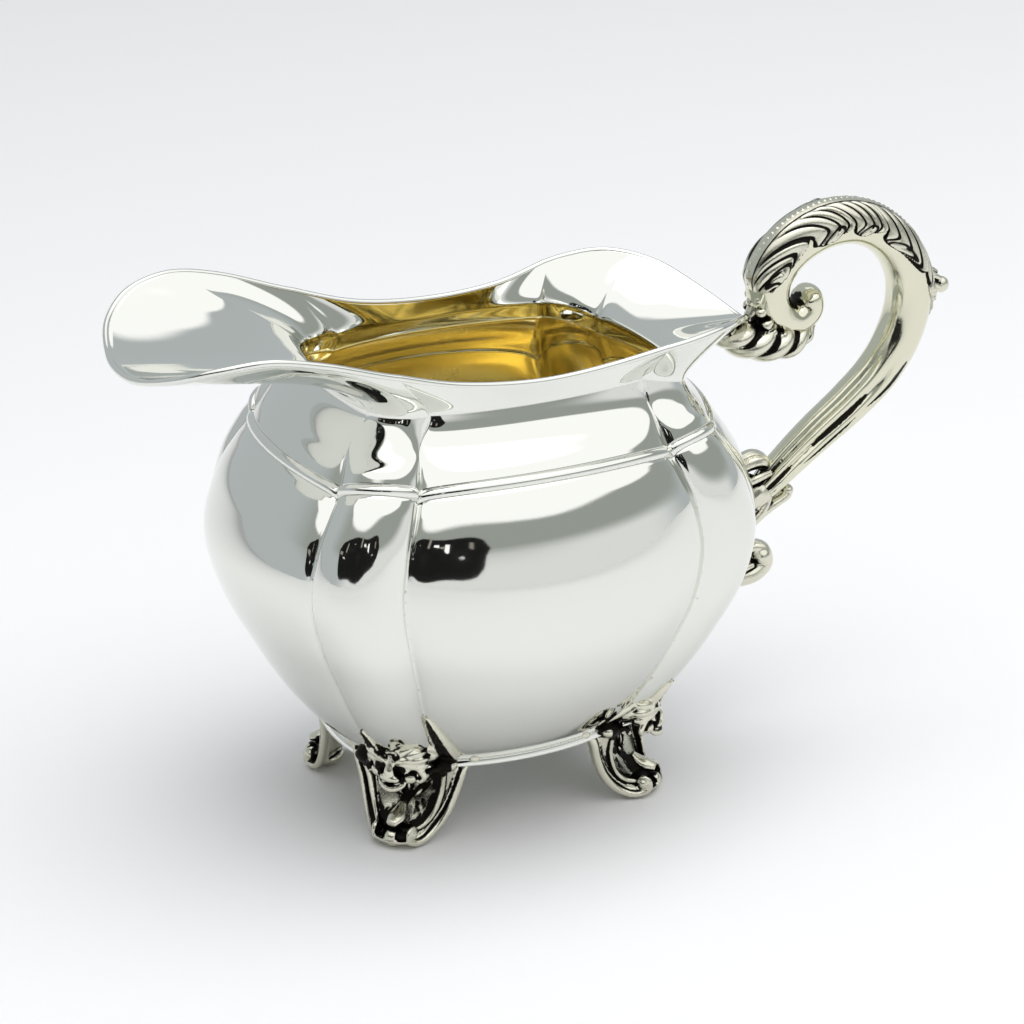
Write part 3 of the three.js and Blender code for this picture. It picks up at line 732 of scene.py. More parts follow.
# the low ground between the strands, round the eyes, beside the crest and near the leaf edges is darkened: oxide with
# painted shade
ground = np.maximum((1 - smoothStep(step, 0.2, 0.9)), 1 - smoothStep(strands, 0.36, 0.78)) * carved
ground = np.maximum(ground, np.exp(-((fromEye - 1.45) / 0.3) ** 2)) * (1 - smoothStep(eye, 0.35, 0.7))
ground = np.maximum(ground, smoothStep(side, limit - 9, limit - 4))
ground = ground * (1 - smoothStep(run, length[-1] - 9, length[-1] - 5))
rope = np.exp(-((across - 0.1) / 0.75) ** 2) * (0.84 + 0.16 * np.cos(run * 2 * np.pi / 0.9))
relief = np.maximum(relief, rope * 0.95 - 0.1)
ground = np.maximum(ground * (1 - smoothStep(rope, 0.35, 0.7)), 0.8 * np.exp(-((across - 1.5) / 0.22) ** 2))
ends = smoothStep(run, 0, 3) * (1 - smoothStep(run, length[-1] - 3, length[-1]))
relief = -0.5 + (relief + 0.5) * ends
leafRings = domeEnds(tubeRings(at, out, thick, wide, leafAngles, relief), 6)
leaf = loftObject("acanthus_relief", leafRings)
setAttribute(leaf, "recess", np.concatenate([ground.ravel(), [0, 0]]))
finishCast(leaf, "acanthus_leaf", chasedSilver)
print("handle ready")


# ---- feet ----

# one foot in its own frame: u out from the jug, v towards the middle of the long side, z up
foot = dict(
    spot=(25.5, 18.3), voxel=0.24,
    # webs over the edge of the base: place, radii
    webs=[((-6.8, 6.4, 15.1), (2.1, 2.7, 1.6)), ((-2.9, -6.5, 15.2), (1.9, 2.7, 1.6))],
    # painted shade held in the eye sockets, mouth and webs: u, v, z, radius
    dark=[(1.1, 2.6, 16.25, 0.85), (1.1, -2.0, 16.25, 0.85), (1.2, 0.3, 13.35, 0.75), (-5.0, 6.6, 15.0, 2.3),
          (-1.5, -6.6, 15.0, 2.3)],
    # outer straps, inner straps: u, v, z, radius
    outerLong=[
        (-10.4, 9.3, 15.3, 1.0), (-9.3, 9.0, 13.4, 1.0), (-8.7, 8.1, 9.7, 1.0), (-7.6, 7.0, 5.8, 0.95),
        (-5.6, 5.6, 2.7, 0.9), (-3.1, 4.6, 1.2, 0.85), (-1.0, 3.8, 1.1, 0.75), (0.3, 3.5, 2.0, 0.65),
        (0.2, 3.4, 3.5, 0.55), (-1.1, 3.5, 4.1, 0.5), (-1.9, 3.6, 3.1, 0.5)],
    outerShort=[
        (-4.2, -10.0, 16.2, 1.0), (-4.1, -9.4, 13.6, 1.0), (-4.1, -8.5, 10.2, 1.0), (-3.4, -7.4, 6.3, 0.95),
        (-2.3, -6.0, 3.0, 0.9), (-1.2, -4.7, 1.4, 0.85), (0.1, -3.8, 1.2, 0.75), (0.9, -3.4, 2.2, 0.65),
        (0.6, -3.3, 3.6, 0.55), (-0.6, -3.4, 4.1, 0.5), (-1.3, -3.5, 3.1, 0.5)],
    innerLong=[
        (-3.4, 4.6, 13.4, 0.75), (-3.9, 5.8, 14.9, 0.7), (-5.6, 6.9, 14.2, 0.65), (-6.5, 6.5, 11.1, 0.65),
        (-6.3, 5.9, 8.0, 0.65), (-5.4, 5.0, 5.2, 0.6), (-4.0, 4.1, 3.7, 0.6), (-2.4, 3.3, 3.2, 0.55)],
    innerShort=[
        (-0.9, -4.9, 13.6, 0.75), (-1.3, -6.0, 14.8, 0.7), (-2.6, -7.2, 14.0, 0.65), (-3.1, -6.6, 11.1, 0.65),
        (-2.9, -5.9, 8.0, 0.65), (-2.3, -4.9, 5.0, 0.6), (-1.6, -4.0, 3.6, 0.6), (-0.8, -3.2, 3.2, 0.55)])


def partTube(points, rows=60, sides=12, flatten=1.0, across=None):
    rows4 = smoothPath(points, rows)
    p, r = rows4[:, :3], rows4[:, 3]
    t = np.gradient(p, axis=0)
    t /= np.linalg.norm(t, axis=1, keepdims=True)
    side = np.asarray(across if across is not None else (0.0, 1.0, 0.0), float)
    a = side - t * (t @ side)[:, None]
    a /= np.maximum(np.linalg.norm(a, axis=1, keepdims=True), 1e-6)
    b = np.cross(t, a)
    angle = np.linspace(0, 2 * np.pi, sides, endpoint=False)
    return (p[:, None] + a[:, None] * (r[:, None] * np.cos(angle))[..., None] * flatten
            + b[:, None] * (r[:, None] * np.sin(angle))[..., None])


# an egg form, turned by a 3 by 3 matrix
def partEgg(centre, radii, turn=None, rows=18, sides=24):
    a = np.linspace(-np.pi / 2, np.pi / 2, rows)
    b = np.linspace(0, 2 * np.pi, sides, endpoint=False)
    p = np.stack([np.cos(a)[:, None] * np.cos(b), np.cos(a)[:, None] * np.sin(b),
                  np.sin(a)[:, None] * np.ones(sides)], -1)
    p = p * np.asarray(radii, float)
    p[0] = p[0].mean(0)
    p[-1] = p[-1].mean(0)
    p[0] += (p[1] - p[0]) * 0.02
    p[-1] += (p[-2] - p[-1]) * 0.02
    if turn is not None:
        p = p @ np.asarray(turn, float).T
    return p + np.asarray(centre, float)


def turnTo(direction, roll=(0, 0, 1)):
    x = np.asarray(direction, float)
    x /= np.linalg.norm(x)
    z = np.asarray(roll, float) - x * np.dot(roll, x)
    z /= np.linalg.norm(z)
    return np.stack([x, np.cross(z, x), z], 1)


def thinner(points, share):
    return [(u, v, z, r * share) for u, v, z, r in points]


def footParts():
    parts = []
    longSide, shortSide = (smoothPath(foot[k][:8], 40) for k in ("outerLong", "outerShort"))
    # hollow back plate between the two outer straps
    across = np.linspace(-1, 1, 17)
    plate = []
    for k in range(40):
        a, b = shortSide[k, :3], longSide[k, :3]
        middle = (a + b) / 2
        down = smoothStep(k, 8, 34)
        bulgeOut = np.array([-1.6 + 2.6 * down, 0, -0.2])
        line = (middle + (b - a) / 2 * across[:, None] + bulgeOut * (1 - across[:, None] ** 2))
        front = line + np.array([0.55, 0, 0])
        back = line - np.array([0.75, 0, 0.1])
        plate.append(np.concatenate([front, back[::-1]]))
    parts.append(np.array(plate))
    for key in ("outerLong", "outerShort"):
        parts.append(partTube(thinner(foot[key], 0.78), 90, 12, 1.0))
    for key in ("innerLong", "innerShort"):
        parts.append(partTube(thinner(foot[key], 0.75), 70, 12))
    # web between outer and inner strap
    for outerKey, innerKey in (("outerLong", "innerLong"), ("outerShort", "innerShort")):
        outer, inner = smoothPath(foot[outerKey][:7], 40)[:, :3], smoothPath(foot[innerKey][1:], 40)[:, :3]
        ring = []
        for k in range(40):
            a, b = outer[k], inner[k]
            thick = np.array([0.45, 0, 0])
            dip = (a + b) / 2 - np.array([1.1, 0, 0])
            front = np.array([0.35, 0, 0])
            ring.append(np.array([a - front, dip + thick, b - front, b - thick * 3, dip - thick, a - thick * 3]))
        parts.append(np.array(ring))
    # curls where the outer straps meet the plate edge
    for (u, v, z, r), sign in ((foot["outerLong"][0], 1), (foot["outerShort"][0], -1)):
        for k, (du, dv, dz, rr) in enumerate([(-0.4, 0.9, 0.2, 1.25), (0.3, 0.2, 1.3, 1.1), (-0.2, 1.0, 2.0, 0.9)]):
            parts.append(partEgg((u + du, v + sign * dv, z + dz), (rr, rr * 1.1, rr)))
    # toe: a rolled scroll, its cross hollow in front, and a leaf riding over it
    roll = [(1.7 * math.cos(a) * (1 - 0.14 * k) + 0.2, 0.1, 2.6 + 1.7 * math.sin(a) * (1 - 0.14 * k), 0.95 - 0.09 * k)
            for k, a in enumerate(np.linspace(-2.4, 2.9, 8))]
    parts.append(partTube([(-4.0, 0.1, 1.4, 1.3), (-2.2, 0.1, 0.95, 1.1)] + roll, 80, 14, 1.75))
    parts.append(partTube([(-3.6, 0.1, 7.2, 0.5), (-2.4, 0.1, 6.0, 0.9), (-0.9, 0.1, 5.2, 1.1), (0.8, 0.1, 4.7, 0.7)],
                          30, 10, 1.5))
    parts.append(partEgg((-2.2, 0.0, 1.6), (3.2, 3.6, 1.6)))
    for sign in (1, -1):
        parts.append(partEgg((-0.9 if sign > 0 else -0.2, 3.5 * sign, 2.9), (1.0, 0.9, 1.0)))
    # faint leaf on the back of the hollow
    for v, z, tilt in ((0.0, 9.6, 0.0), (1.9, 8.4, 0.6), (-1.9, 8.4, -0.6), (1.3, 11.2, 0.4), (-1.3, 11.2, -0.4)):
        up = (0, math.sin(tilt), math.cos(tilt))
        parts.append(partEgg((-6.5 + 0.22 * (12 - z), v, z), (1.5, 0.4, 0.5), turnTo(up, (1, 0, 0))))
    parts += [partEgg(centre, radii) for centre, radii in foot["webs"]]
    # shoulder of the casting, up under the belly
    parts.append(partEgg((-4.4, 0.2, 18.2), (3.6, 7.0, 3.0)))
    parts.append(partTube([(-10.0, 9.3, 17.0, 0.9), (-6.4, 8.4, 18.6, 1.2), (-3.0, 5.0, 20.0, 1.3), (-2.0, 0, 20.6, 1.3),
                           (-2.4, -5.0, 19.6, 1.2), (-4.2, -9.4, 17.4, 0.9)], 60, 12))
    return parts + maskParts()


def maskParts():
    headAt, headSize = np.array((-2.0, 0.2, 17.7)), np.array((2.9, 5.4, 4.2))
    parts = [partEgg(headAt, headSize)]
    # mane: locks fanning out over the brow
    for fan in np.radians(np.linspace(-104, 104, 12)):
        lock = []
        for t in (0.28, 0.5, 0.75, 0.95, 1.08):
            way = np.array((math.cos(t * math.pi / 2), math.sin(fan) * math.sin(t * math.pi / 2),
                            math.cos(fan) * math.sin(t * math.pi / 2)))
            lock.append((*(headAt + headSize * 1.04 * way), 0.34 + 0.42 * math.sin(t * math.pi / 1.3)))
        parts.append(partTube(lock, 26, 10))
    nose = np.array((1.0, 0.3, 14.4))
    bridge = np.array((0.9, 0.3, 16.6))
    parts.append(partTube([(*bridge + (-0.6, 0, 1.6), 0.9), (*bridge, 0.8), (*(bridge + nose) / 2 + (0.35, 0, 0), 0.95),
                           (*nose, 1.15)], 24, 14, 1.15))
    parts.append(partEgg(nose + (0.25, 0, -0.1), (1.1, 1.7, 0.85)))
    for sign in (1, -1):
        parts.append(partEgg(nose + (0.1, 1.25 * sign, -0.15), (0.9, 0.7, 0.75)))
        # eye: ball with upper and lower lid, brow above, cheek below
        eye = np.array((0.35, 0.3 + 2.65 * sign, 16.5))
        parts.append(partEgg(eye, (0.75, 0.8, 0.62)))
        parts.append(partTube([(*eye + (0.3, -1.3 * sign, -0.2), 0.25), (*eye + (0.75, -0.2 * sign, 0.72), 0.34),
                               (*eye + (-0.1, 1.35 * sign, 0.2), 0.25)], 20, 8))
        parts.append(partTube([(*eye + (0.3, -1.2 * sign, -0.3), 0.22), (*eye + (0.65, 0.1 * sign, -0.72), 0.3),
                               (*eye + (-0.1, 1.35 * sign, 0.05), 0.22)], 20, 8))
        parts.append(partTube([(*eye + (0.6, -1.7 * sign, 0.6), 0.4), (*eye + (0.85, -0.3 * sign, 1.55), 0.55),
                               (*eye + (-0.3, 1.6 * sign, 1.35), 0.45), (*eye + (-1.2, 2.5 * sign, 0.4), 0.25)], 26, 8))
        parts.append(partEgg(eye + (-0.6, 0.6 * sign, -2.0), (1.1, 1.3, 1.2)))
        # curl beside the cheek
        parts.append(partTube([(*eye + (-1.0, 2.2 * sign, -0.2), 0.7), (*eye + (-1.5, 2.9 * sign, -1.8), 0.6),
                               (*eye + (-1.4, 1.9 * sign, -3.0), 0.5)], 20, 8))
    # jaw: a bright crescent under the dark mouth
    parts.append(partTube([(-0.6, -2.1, 14.1, 0.35), (0.7, -1.7, 12.9, 0.6), (1.35, 0.3, 12.25, 0.75),
                           (0.7, 2.3, 12.9, 0.6), (-0.6, 2.7, 14.1, 0.35)], 40, 10))
    parts.append(partEgg((-0.3, 0.3, 13.2), (1.2, 1.6, 1.1)))
    return parts


# leaf points lying up the belly: u, v, z of base and tip, width
def spikeParts(bellyAt, leafSide):
    parts, dark = [], []
    tall = (((-3.0, 8.2, 17.6), (1.4, 8.2, 28.2), 2.6) if leafSide > 0 else ((-2.4, -7.0, 17.6), (0.8, -7.6, 27.6), 2.5))
    for base, tip, width in (tall, ((0.4, -2.6 * leafSide, 19.5), (3.4, -3.4 * leafSide, 24.2), 1.5)):
        base, tip = np.array(base), np.array(tip)
        rows = []
        for f in np.linspace(0, 1, 26):
            p = bellyAt(base * (1 - f) + tip * f)
            half = width * (1 - f) ** 0.8 * (0.75 + 0.5 * f) + 0.12
            lift = 1.2 * (1 - 0.5 * f)
            section = [(-1, -0.9), (-1, 0.55), (-0.8, 0.8), (-0.5, 0.25), (-0.18, 0.25), (0, 0.6), (0.18, 0.25),
                       (0.5, 0.25), (0.8, 0.8), (1, 0.55), (1, -0.9)]
            rows.append([p + (lift * out, half * v, -0.35 * lift * out) for v, out in section])
            # the middle of each leaf point is held dark as painted shade
            dark.append((*(p + (0.45 * lift, 0, 0)), 0.62 * half))
        parts.append(np.array(rows))
    return parts, dark


# pushes a point of the foot's frame out or in along u until it lies on the belly
def bellySurface(footTurn):
    ring = bowlOutside
    outward = np.array([math.cos(footTurn), math.sin(footTurn)])
    sideways = np.array([-outward[1], outward[0]])
    reachOut = math.hypot(*foot["spot"])
    u = ring[..., 0] * outward[0] + ring[..., 1] * outward[1] - reachOut
    v = ring[..., 0] * sideways[0] + ring[..., 1] * sideways[1]
    keep = u > -16
    cloud = np.stack([u[keep], v[keep], ring[..., 2][keep]], 1)

    def onBelly(p):
        near = np.hypot(cloud[:, 1] - p[1], cloud[:, 2] - p[2])
        pick = np.argsort(near)[:6]
        weight = 1 / (near[pick] + 0.05)
        return np.array([np.sum(cloud[pick, 0] * weight) / weight.sum(), p[1], p[2]])
    return onBelly


footTurn = math.atan2(foot["spot"][1], foot["spot"][0])
outward = np.array([math.cos(footTurn), math.sin(footTurn), 0])
inward = np.array([-math.sin(footTurn), math.cos(footTurn), 0])
spot = np.array([foot["spot"][0], foot["spot"][1], 0])


# puts a grid or list of foot points in the jug's frame, at the (+x, +y) corner
def placeFoot(p):
    p = np.asarray(p, float)
    return spot + p[..., :1] * outward + p[..., 1:2] * inward + p[..., 2:3] * [0, 0, 1]


# one casting for all four corners; its leaf point is always on the same hand, so two are made and mirrored
bellyAt = bellySurface(footTurn)
for leafSide, corners in (
        (1, (("foot_back_right", 1, 1), ("foot_spout_left", -1, -1))),
        (-1, (("foot_spout_right", -1, 1), ("foot_back_left", 1, -1)))):
    leaves, dark = spikeParts(bellyAt, leafSide)
    model = castMesh("cast_foot", [placeFoot(p) for p in footParts() + leaves], foot["voxel"])
    # the leaf-point middles, eye sockets, mouth and webs are held dark as painted shade, over the oxide with painted
    # shade in the hollows
    dark += foot["dark"]
    darkPlaces = np.hstack([placeFoot(np.array(dark)[:, :3]), np.array(dark)[:, 3:]])
    paintDepth(model, 6.0, 0.09, 0.33, darkPlaces)
    for node, signX, signY in corners:
        mesh = model.data.copy()
        mesh.name = "cast_" + node
        co = np.empty(len(mesh.vertices) * 3)
        mesh.vertices.foreach_get("co", co)
        co = (co.reshape(-1, 3) - [bodyX * mm, 0, 0]) * [signX, signY, 1] + [bodyX * mm, 0, 0]
        mesh.vertices.foreach_set("co", co.ravel())
        if signX * signY < 0:
            mesh.flip_normals()
        mesh.update()
        piece = bpy.data.objects.new("cast_" + node, mesh)
        scene.collection.objects.link(piece)
        finishCast(piece, node, chasedSilver)
    bpy.data.objects.remove(model)
print("feet ready")


# ---- castings that carry the handle ----

# a bracket under the rim: a ribbed cup that the big scroll lies in
bracket = dict(
    core=[(44.6, 79.6, 1.0), (47.5, 79.0, 1.7), (51.5, 77.5, 2.4), (56.0, 76.4, 2.6), (60.5, 76.1, 2.4),
          (64.0, 76.9, 1.7), (66.4, 78.2, 0.9)],
    bands=5, bandRise=0.5,
    # knobs between the rim and the scroll: x, y, z, radius
    knobs=[(54.2, -1.9, 84.8, 0.85), (54.2, 1.9, 84.8, 0.85), (54.4, -2.4, 82.4, 1.0), (54.4, 2.4, 82.4, 1.0),
           (55.2, -3.2, 80.2, 1.1), (55.2, 3.2, 80.2, 1.1), (53.9, 0, 84.0, 1.1), (54.2, -0.7, 86.4, 0.7),
           (55.8, -3.5, 78.4, 1.2), (55.8, 3.5, 78.4, 1.2), (58.0, -3.7, 77.7, 0.9), (58.0, 3.7, 77.7, 0.9)])


def planeTube(points, y=0.0, **kind):
    return partTube([(x, y, z, r) for x, z, r in points], across=(0, 1, 0), **kind)


def bracketParts():
    rings = planeTube(bracket["core"], rows=200, sides=72, flatten=1.5)
    middle = rings.mean(1, keepdims=True)
    along = np.linspace(0, 1, len(rings))[:, None]
    up = (rings[..., 2] - middle[..., 2]) / np.abs(rings[..., 2] - middle[..., 2]).max(1, keepdims=True)
    band = np.abs(np.sin(np.pi * (bracket["bands"] * along - 0.55 * (up + 1)))) ** 0.55
    flared = smoothStep(along, 0, 0.12) * (1 - smoothStep(along, 0.9, 1.0))
    parts = [middle + (rings - middle) * (1 + bracket["bandRise"] * (band * flared)[..., None])]
    for x, y, z, r in bracket["knobs"]:
        parts.append(partEgg((x, y, z), (r, r, r)))
        parts.append(partEgg((x + 0.5, y * 1.12, z + 0.5), (r * 0.6, r * 0.6, r * 0.6)))
    parts.append(planeTube([(52.6, 79.6, 1.0), (53.9, 81.6, 1.3), (54.9, 83.6, 1.5), (55.8, 85.2, 1.5)], flatten=1.2))
    return parts


socket = dict(
    sleeve=[(49.6, 42.9, 3.2), (52.4, 44.6, 3.0), (54.6, 46.0, 3.1), (55.9, 46.9, 3.3), (56.8, 47.5, 3.0)],
    knuckle=[(50.8, 50.8, 1.3), (53.0, 52.6, 1.7), (55.5, 53.0, 1.8), (56.9, 51.9, 1.4), (56.4, 50.8, 0.9)],
    underLeaf=[(49.6, 34.6, 0.8), (51.4, 38.4, 1.3), (54.2, 41.2, 1.6), (57.4, 43.1, 1.4), (60.2, 44.1, 1.1),
               (62.2, 45.3, 1.0), (61.6, 46.4, 0.7)])
socketParts = [planeTube(socket["sleeve"], flatten=1.15, sides=20), planeTube(socket["knuckle"], flatten=1.5),
               planeTube(socket["underLeaf"], flatten=1.6), partEgg((62.3, 0, 45.8), (1.2, 1.5, 1.1)),
               partEgg((55.5, 0, 53.1), (1.7, 2.4, 1.7))]
for sign in (1, -1):
    socketParts.append(partTube([(50.4, 3.0 * sign, 37.6, 0.6), (53.0, 3.4 * sign, 41.4, 0.8), (56.0, 3.3 * sign, 44.6, 0.7),
                                 (57.2, 3.0 * sign, 46.6, 0.5)], 30, 10))
    socketParts.append(partTube([(51.5, 2.6 * sign, 49.4, 0.7), (54.4, 3.2 * sign, 50.6, 0.8), (57.4, 2.6 * sign, 51.0, 0.6)],
                                24, 10))

spur = [planeTube([(88.0, 84.0, 1.5), (90.4, 83.4, 1.5), (92.2, 82.6, 1.1), (93.4, 82.0, 0.9)], rows=30),
        partEgg((93.5, 0, 81.4), (1.55, 1.55, 1.55)), partEgg((92.0, 0, 80.9), (1.0, 1.3, 0.9))]
for k in range(6):
    a = 2 * math.pi * k / 6
    spur.append(partTube([(88.6, 1.2 * math.sin(a), 83.8 + 1.2 * math.cos(a), 0.5),
                          (91.2, 1.7 * math.sin(a), 83.0 + 1.7 * math.cos(a), 0.55),
                          (92.6, 1.7 * math.sin(a), 82.2 + 1.7 * math.cos(a), 0.4)], 20, 8))

tail = [planeTube([(45.5, 30.6, 1.6), (49.0, 29.9, 1.8), (52.0, 30.2, 2.0), (55.2, 30.6, 2.0), (57.4, 32.4, 1.9),
                   (57.2, 34.8, 1.5), (55.4, 35.6, 1.2), (53.9, 34.9, 0.9)], rows=80, sides=16, flatten=1.45),
        partEgg((56.8, 0, 33.7), (2.15, 2.9, 2.15)),
        planeTube([(47.2, 36.5, 1.0), (50.4, 35.6, 1.2), (53.2, 36.4, 1.0)], flatten=1.4)]
for sign in (1, -1):
    tail.append(partTube([(47.0, 2.6 * sign, 31.8, 0.6), (51.0, 2.8 * sign, 32.4, 0.7), (54.4, 2.4 * sign, 32.9, 0.5)], 24, 10))

# voxel size, then the depth of hollow at which the oxide and painted shade start and are full
for name, node, parts, voxel, low, high in (
        ("ribbed_rim_bracket", "rim_bracket", bracketParts(), 0.2, 0.05, 0.24),
        ("lower_handle_socket", "handle_socket", socketParts, 0.24, 0.1, 0.36),
        ("ball_spur", "handle_spur", spur, 0.16, 0.1, 0.36),
        ("curled_tail", "tail_scroll", tail, 0.22, 0.1, 0.36)):
    piece = castMesh(name, parts, voxel)
    paintDepth(piece, 4.0, low, high)
    finishCast(piece, node, chasedSilver)
print("castings ready")


# base: a thin plate with a rounded edge that closes the bowl
# edge: share of the height, how far back
base = dict(low=14.2, high=15.5, out=0.6,
            edge=[(0.0, 0.5), (0.03, 0.22), (0.09, 0.06), (0.16, 0.0), (0.5, 0.16), (0.84, 0.32), (0.92, 0.4),
                  (0.98, 0.56), (1.0, 0.8)])
edgeRing = lobedRing(15.4)
middle = edgeRing.mean(0)
plateRings = []
for share in (0.02, 0.5, 0.85):
    plateRings.append(middle + (edgeRing - middle) * share)
    plateRings[-1][:, 2] = base["low"]
for rise, back in base["edge"]:
    ring = middle + (edgeRing - middle) * (1 + (base["out"] - back) / 28)
    ring[:, 2] = base["low"] + (base["high"] - base["low"]) * rise
    plateRings.append(ring)
for share in (0.85, 0.5, 0.02):
    plateRings.append(middle + (edgeRing - middle) * share)
    plateRings[-1][:, 2] = base["high"] - 0.2
plate = loftObject("base_disc", np.array(plateRings))
setAttribute(plate, "recess", np.zeros(len(plate.data.vertices)))
plate.data.materials.append(polishedSilver)
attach(plate, "root")
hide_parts("base_plate")


# ---- studio ----

studio = dict(
    # table, its colour painted darker further back as a painted light falloff: how far back in metres, how light
    table=[(0.1, 0.965), (0.6, 0.79), (1.4, 0.46)], tableTint=(1.0, 1.0, 1.012), nearWallTop=0.53, farWallTop=0.72, nearWall=(0.36, 0.385, 0.365),
    farWall=(0.50, 0.54, 0.56), ceiling=(1.2, 1.2, 1.21), gapDark=(0.012, 0.012, 0.012),
    sweep=(0.84, 0.85, 0.86), sweepTop=(0.10, 0.26), ambient=(0.13, 0.90), zenith=0.9,
    softbox=dict(place=(230, -250, 1050), size=1.4, power=3.6))


def emitter(name, colour, strength):
    mat = bpy.data.materials.new(name)
    mat.use_nodes = True
    tree = mat.node_tree
    tree.nodes.clear()
    glow = tree.nodes.new("ShaderNodeEmission")
    glow.inputs["Color"].default_value = (*colour, 1)
    glow.inputs["Strength"].default_value = strength
    out = tree.nodes.new("ShaderNodeOutputMaterial")
    tree.links.new(glow.outputs[0], out.inputs[0])
    return mat


floorMesh = bpy.data.meshes.new("table")
floorMesh.from_pydata([(-3, -3, 0), (3, -3, 0), (3, 3, 0), (-3, 3, 0)], [], [[0, 1, 2, 3]])
floor = bpy.data.objects.new("table", floorMesh)
scene.collection.objects.link(floor)
floorMat = bpy.data.materials.new("tableWithPaintedFalloff")
floorMat.use_nodes = True
# painted light falloff: the table's colour darkens with distance behind the jug
place = floorMat.node_tree.nodes.new("ShaderNodeTexCoord")
placeSplit = floorMat.node_tree.nodes.new("ShaderNodeSeparateXYZ")
backward = floorMat.node_tree.nodes.new("ShaderNodeMapRange")
backward.inputs["From Min"].default_value = studio["table"][0][0]
backward.inputs["From Max"].default_value = studio["table"][-1][0]
shade = floorMat.node_tree.nodes.new("ShaderNodeValToRGB")
shade.color_ramp.elements.new(0.5)
for stop, (away, light) in zip(shade.color_ramp.elements, studio["table"]):
    stop.position = (away - studio["table"][0][0]) / (studio["table"][-1][0] - studio["table"][0][0])
    stop.color = (*(light * tint for tint in studio["tableTint"]), 1)
floorMat.node_tree.links.new(place.outputs["Object"], placeSplit.inputs[0])
floorMat.node_tree.links.new(placeSplit.outputs["Y"], backward.inputs["Value"])
floorMat.node_tree.links.new(backward.outputs["Result"], shade.inputs["Fac"])
floorMat.node_tree.links.new(shade.outputs["Color"], floorMat.node_tree.nodes["Principled BSDF"].inputs["Base Color"])
floorMat.node_tree.nodes["Principled BSDF"].inputs["Roughness"].default_value = 0.6
floor.data.materials.append(floorMat)

# the room round the table: grey walls up to a height, a white diffusing ceiling above
world = bpy.data.worlds.new("studio")
scene.world = world
world.use_nodes = True
sky, skyLink = world.node_tree.nodes, world.node_tree.links.new
direction = sky.new("ShaderNodeTexCoord")
split = sky.new("ShaderNodeSeparateXYZ")
wave = sky.new("ShaderNodeTexNoise")
wave.inputs["Scale"].default_value = 1.3
wave.inputs["Detail"].default_value = 0
sway = sky.new("ShaderNodeMath")
sway.operation = "MULTIPLY_ADD"
sway.inputs[1].default_value = 0.25
farSide = sky.new("ShaderNodeMapRange")
farSide.interpolation_type = "SMOOTHSTEP"
farSide.inputs["From Min"].default_value = -0.1
farSide.inputs["From Max"].default_value = 0.45
wallTop = sky.new("ShaderNodeMapRange")
wallTop.inputs["To Min"].default_value = studio["nearWallTop"] + 0.125
wallTop.inputs["To Max"].default_value = studio["farWallTop"] + 0.125
above = sky.new("ShaderNodeMath")
above.operation = "SUBTRACT"
edge = sky.new("ShaderNodeMapRange")
edge.interpolation_type = "SMOOTHSTEP"
edge.inputs["From Min"].default_value = -0.02
edge.inputs["From Max"].default_value = 0.02
walls = sky.new("ShaderNodeMix")
walls.data_type = "RGBA"
walls.inputs[6].default_value = (*studio["nearWall"], 1)
walls.inputs[7].default_value = (*studio["farWall"], 1)
paint = sky.new("ShaderNodeMix")
paint.data_type = "RGBA"
paint.inputs[7].default_value = (*studio["ceiling"], 1)
skyLink(direction.outputs["Generated"], split.inputs[0])
skyLink(direction.outputs["Generated"], wave.inputs["Vector"])
skyLink(wave.outputs["Fac"], sway.inputs[0])
skyLink(split.outputs["Z"], sway.inputs[2])
skyLink(split.outputs["Y"], farSide.inputs["Value"])
skyLink(farSide.outputs["Result"], wallTop.inputs["Value"])
skyLink(farSide.outputs["Result"], walls.inputs[0])
skyLink(sway.outputs[0], above.inputs[0])
skyLink(wallTop.outputs["Result"], above.inputs[1])
skyLink(above.outputs[0], edge.inputs["Value"])
skyLink(edge.outputs["Result"], paint.inputs[0])
# the white sweep under the walls
lowEdge = sky.new("ShaderNodeMapRange")
lowEdge.interpolation_type = "SMOOTHSTEP"
lowEdge.inputs["From Min"].default_value = studio["sweepTop"][0]
lowEdge.inputs["From Max"].default_value = studio["sweepTop"][1]
lower = sky.new("ShaderNodeMix")
lower.data_type = "RGBA"
lower.inputs[6].default_value = (*studio["sweep"], 1)
skyLink(split.outputs["Z"], lowEdge.inputs["Value"])
skyLink(lowEdge.outputs["Result"], lower.inputs[0])
skyLink(walls.outputs[2], lower.inputs[7])
# behind the table the walls come down to it
farSweep = sky.new("ShaderNodeMix")
farSweep.data_type = "RGBA"
farSweep.inputs[6].default_value = (*studio["sweep"], 1)
farSweep.inputs[7].default_value = (*studio["farWall"], 1)
notNear = sky.new("ShaderNodeMapRange")
notNear.interpolation_type = "SMOOTHSTEP"
notNear.inputs["From Min"].default_value = -0.6
notNear.inputs["From Max"].default_value = -0.1
skyLink(split.outputs["Y"], notNear.inputs["Value"])
skyLink(notNear.outputs["Result"], farSweep.inputs[0])
skyLink(farSweep.outputs[2], lower.inputs[6])
skyLink(lower.outputs[2], paint.inputs[6])
# what lights the table is dimmer than what the metal shows, so that the softbox draws the shadow
rayKind = sky.new("ShaderNodeLightPath")
dim = sky.new("ShaderNodeMapRange")
dim.inputs["To Min"].default_value = 1.0
fromAbove = sky.new("ShaderNodeMapRange")
fromAbove.inputs["To Min"].default_value = studio["ambient"][0]
fromAbove.inputs["To Max"].default_value = studio["ambient"][1]
skyLink(split.outputs["Z"], fromAbove.inputs["Value"])
skyLink(fromAbove.outputs["Result"], dim.inputs["To Max"])
skyLink(rayKind.outputs["Is Diffuse Ray"], dim.inputs["Value"])
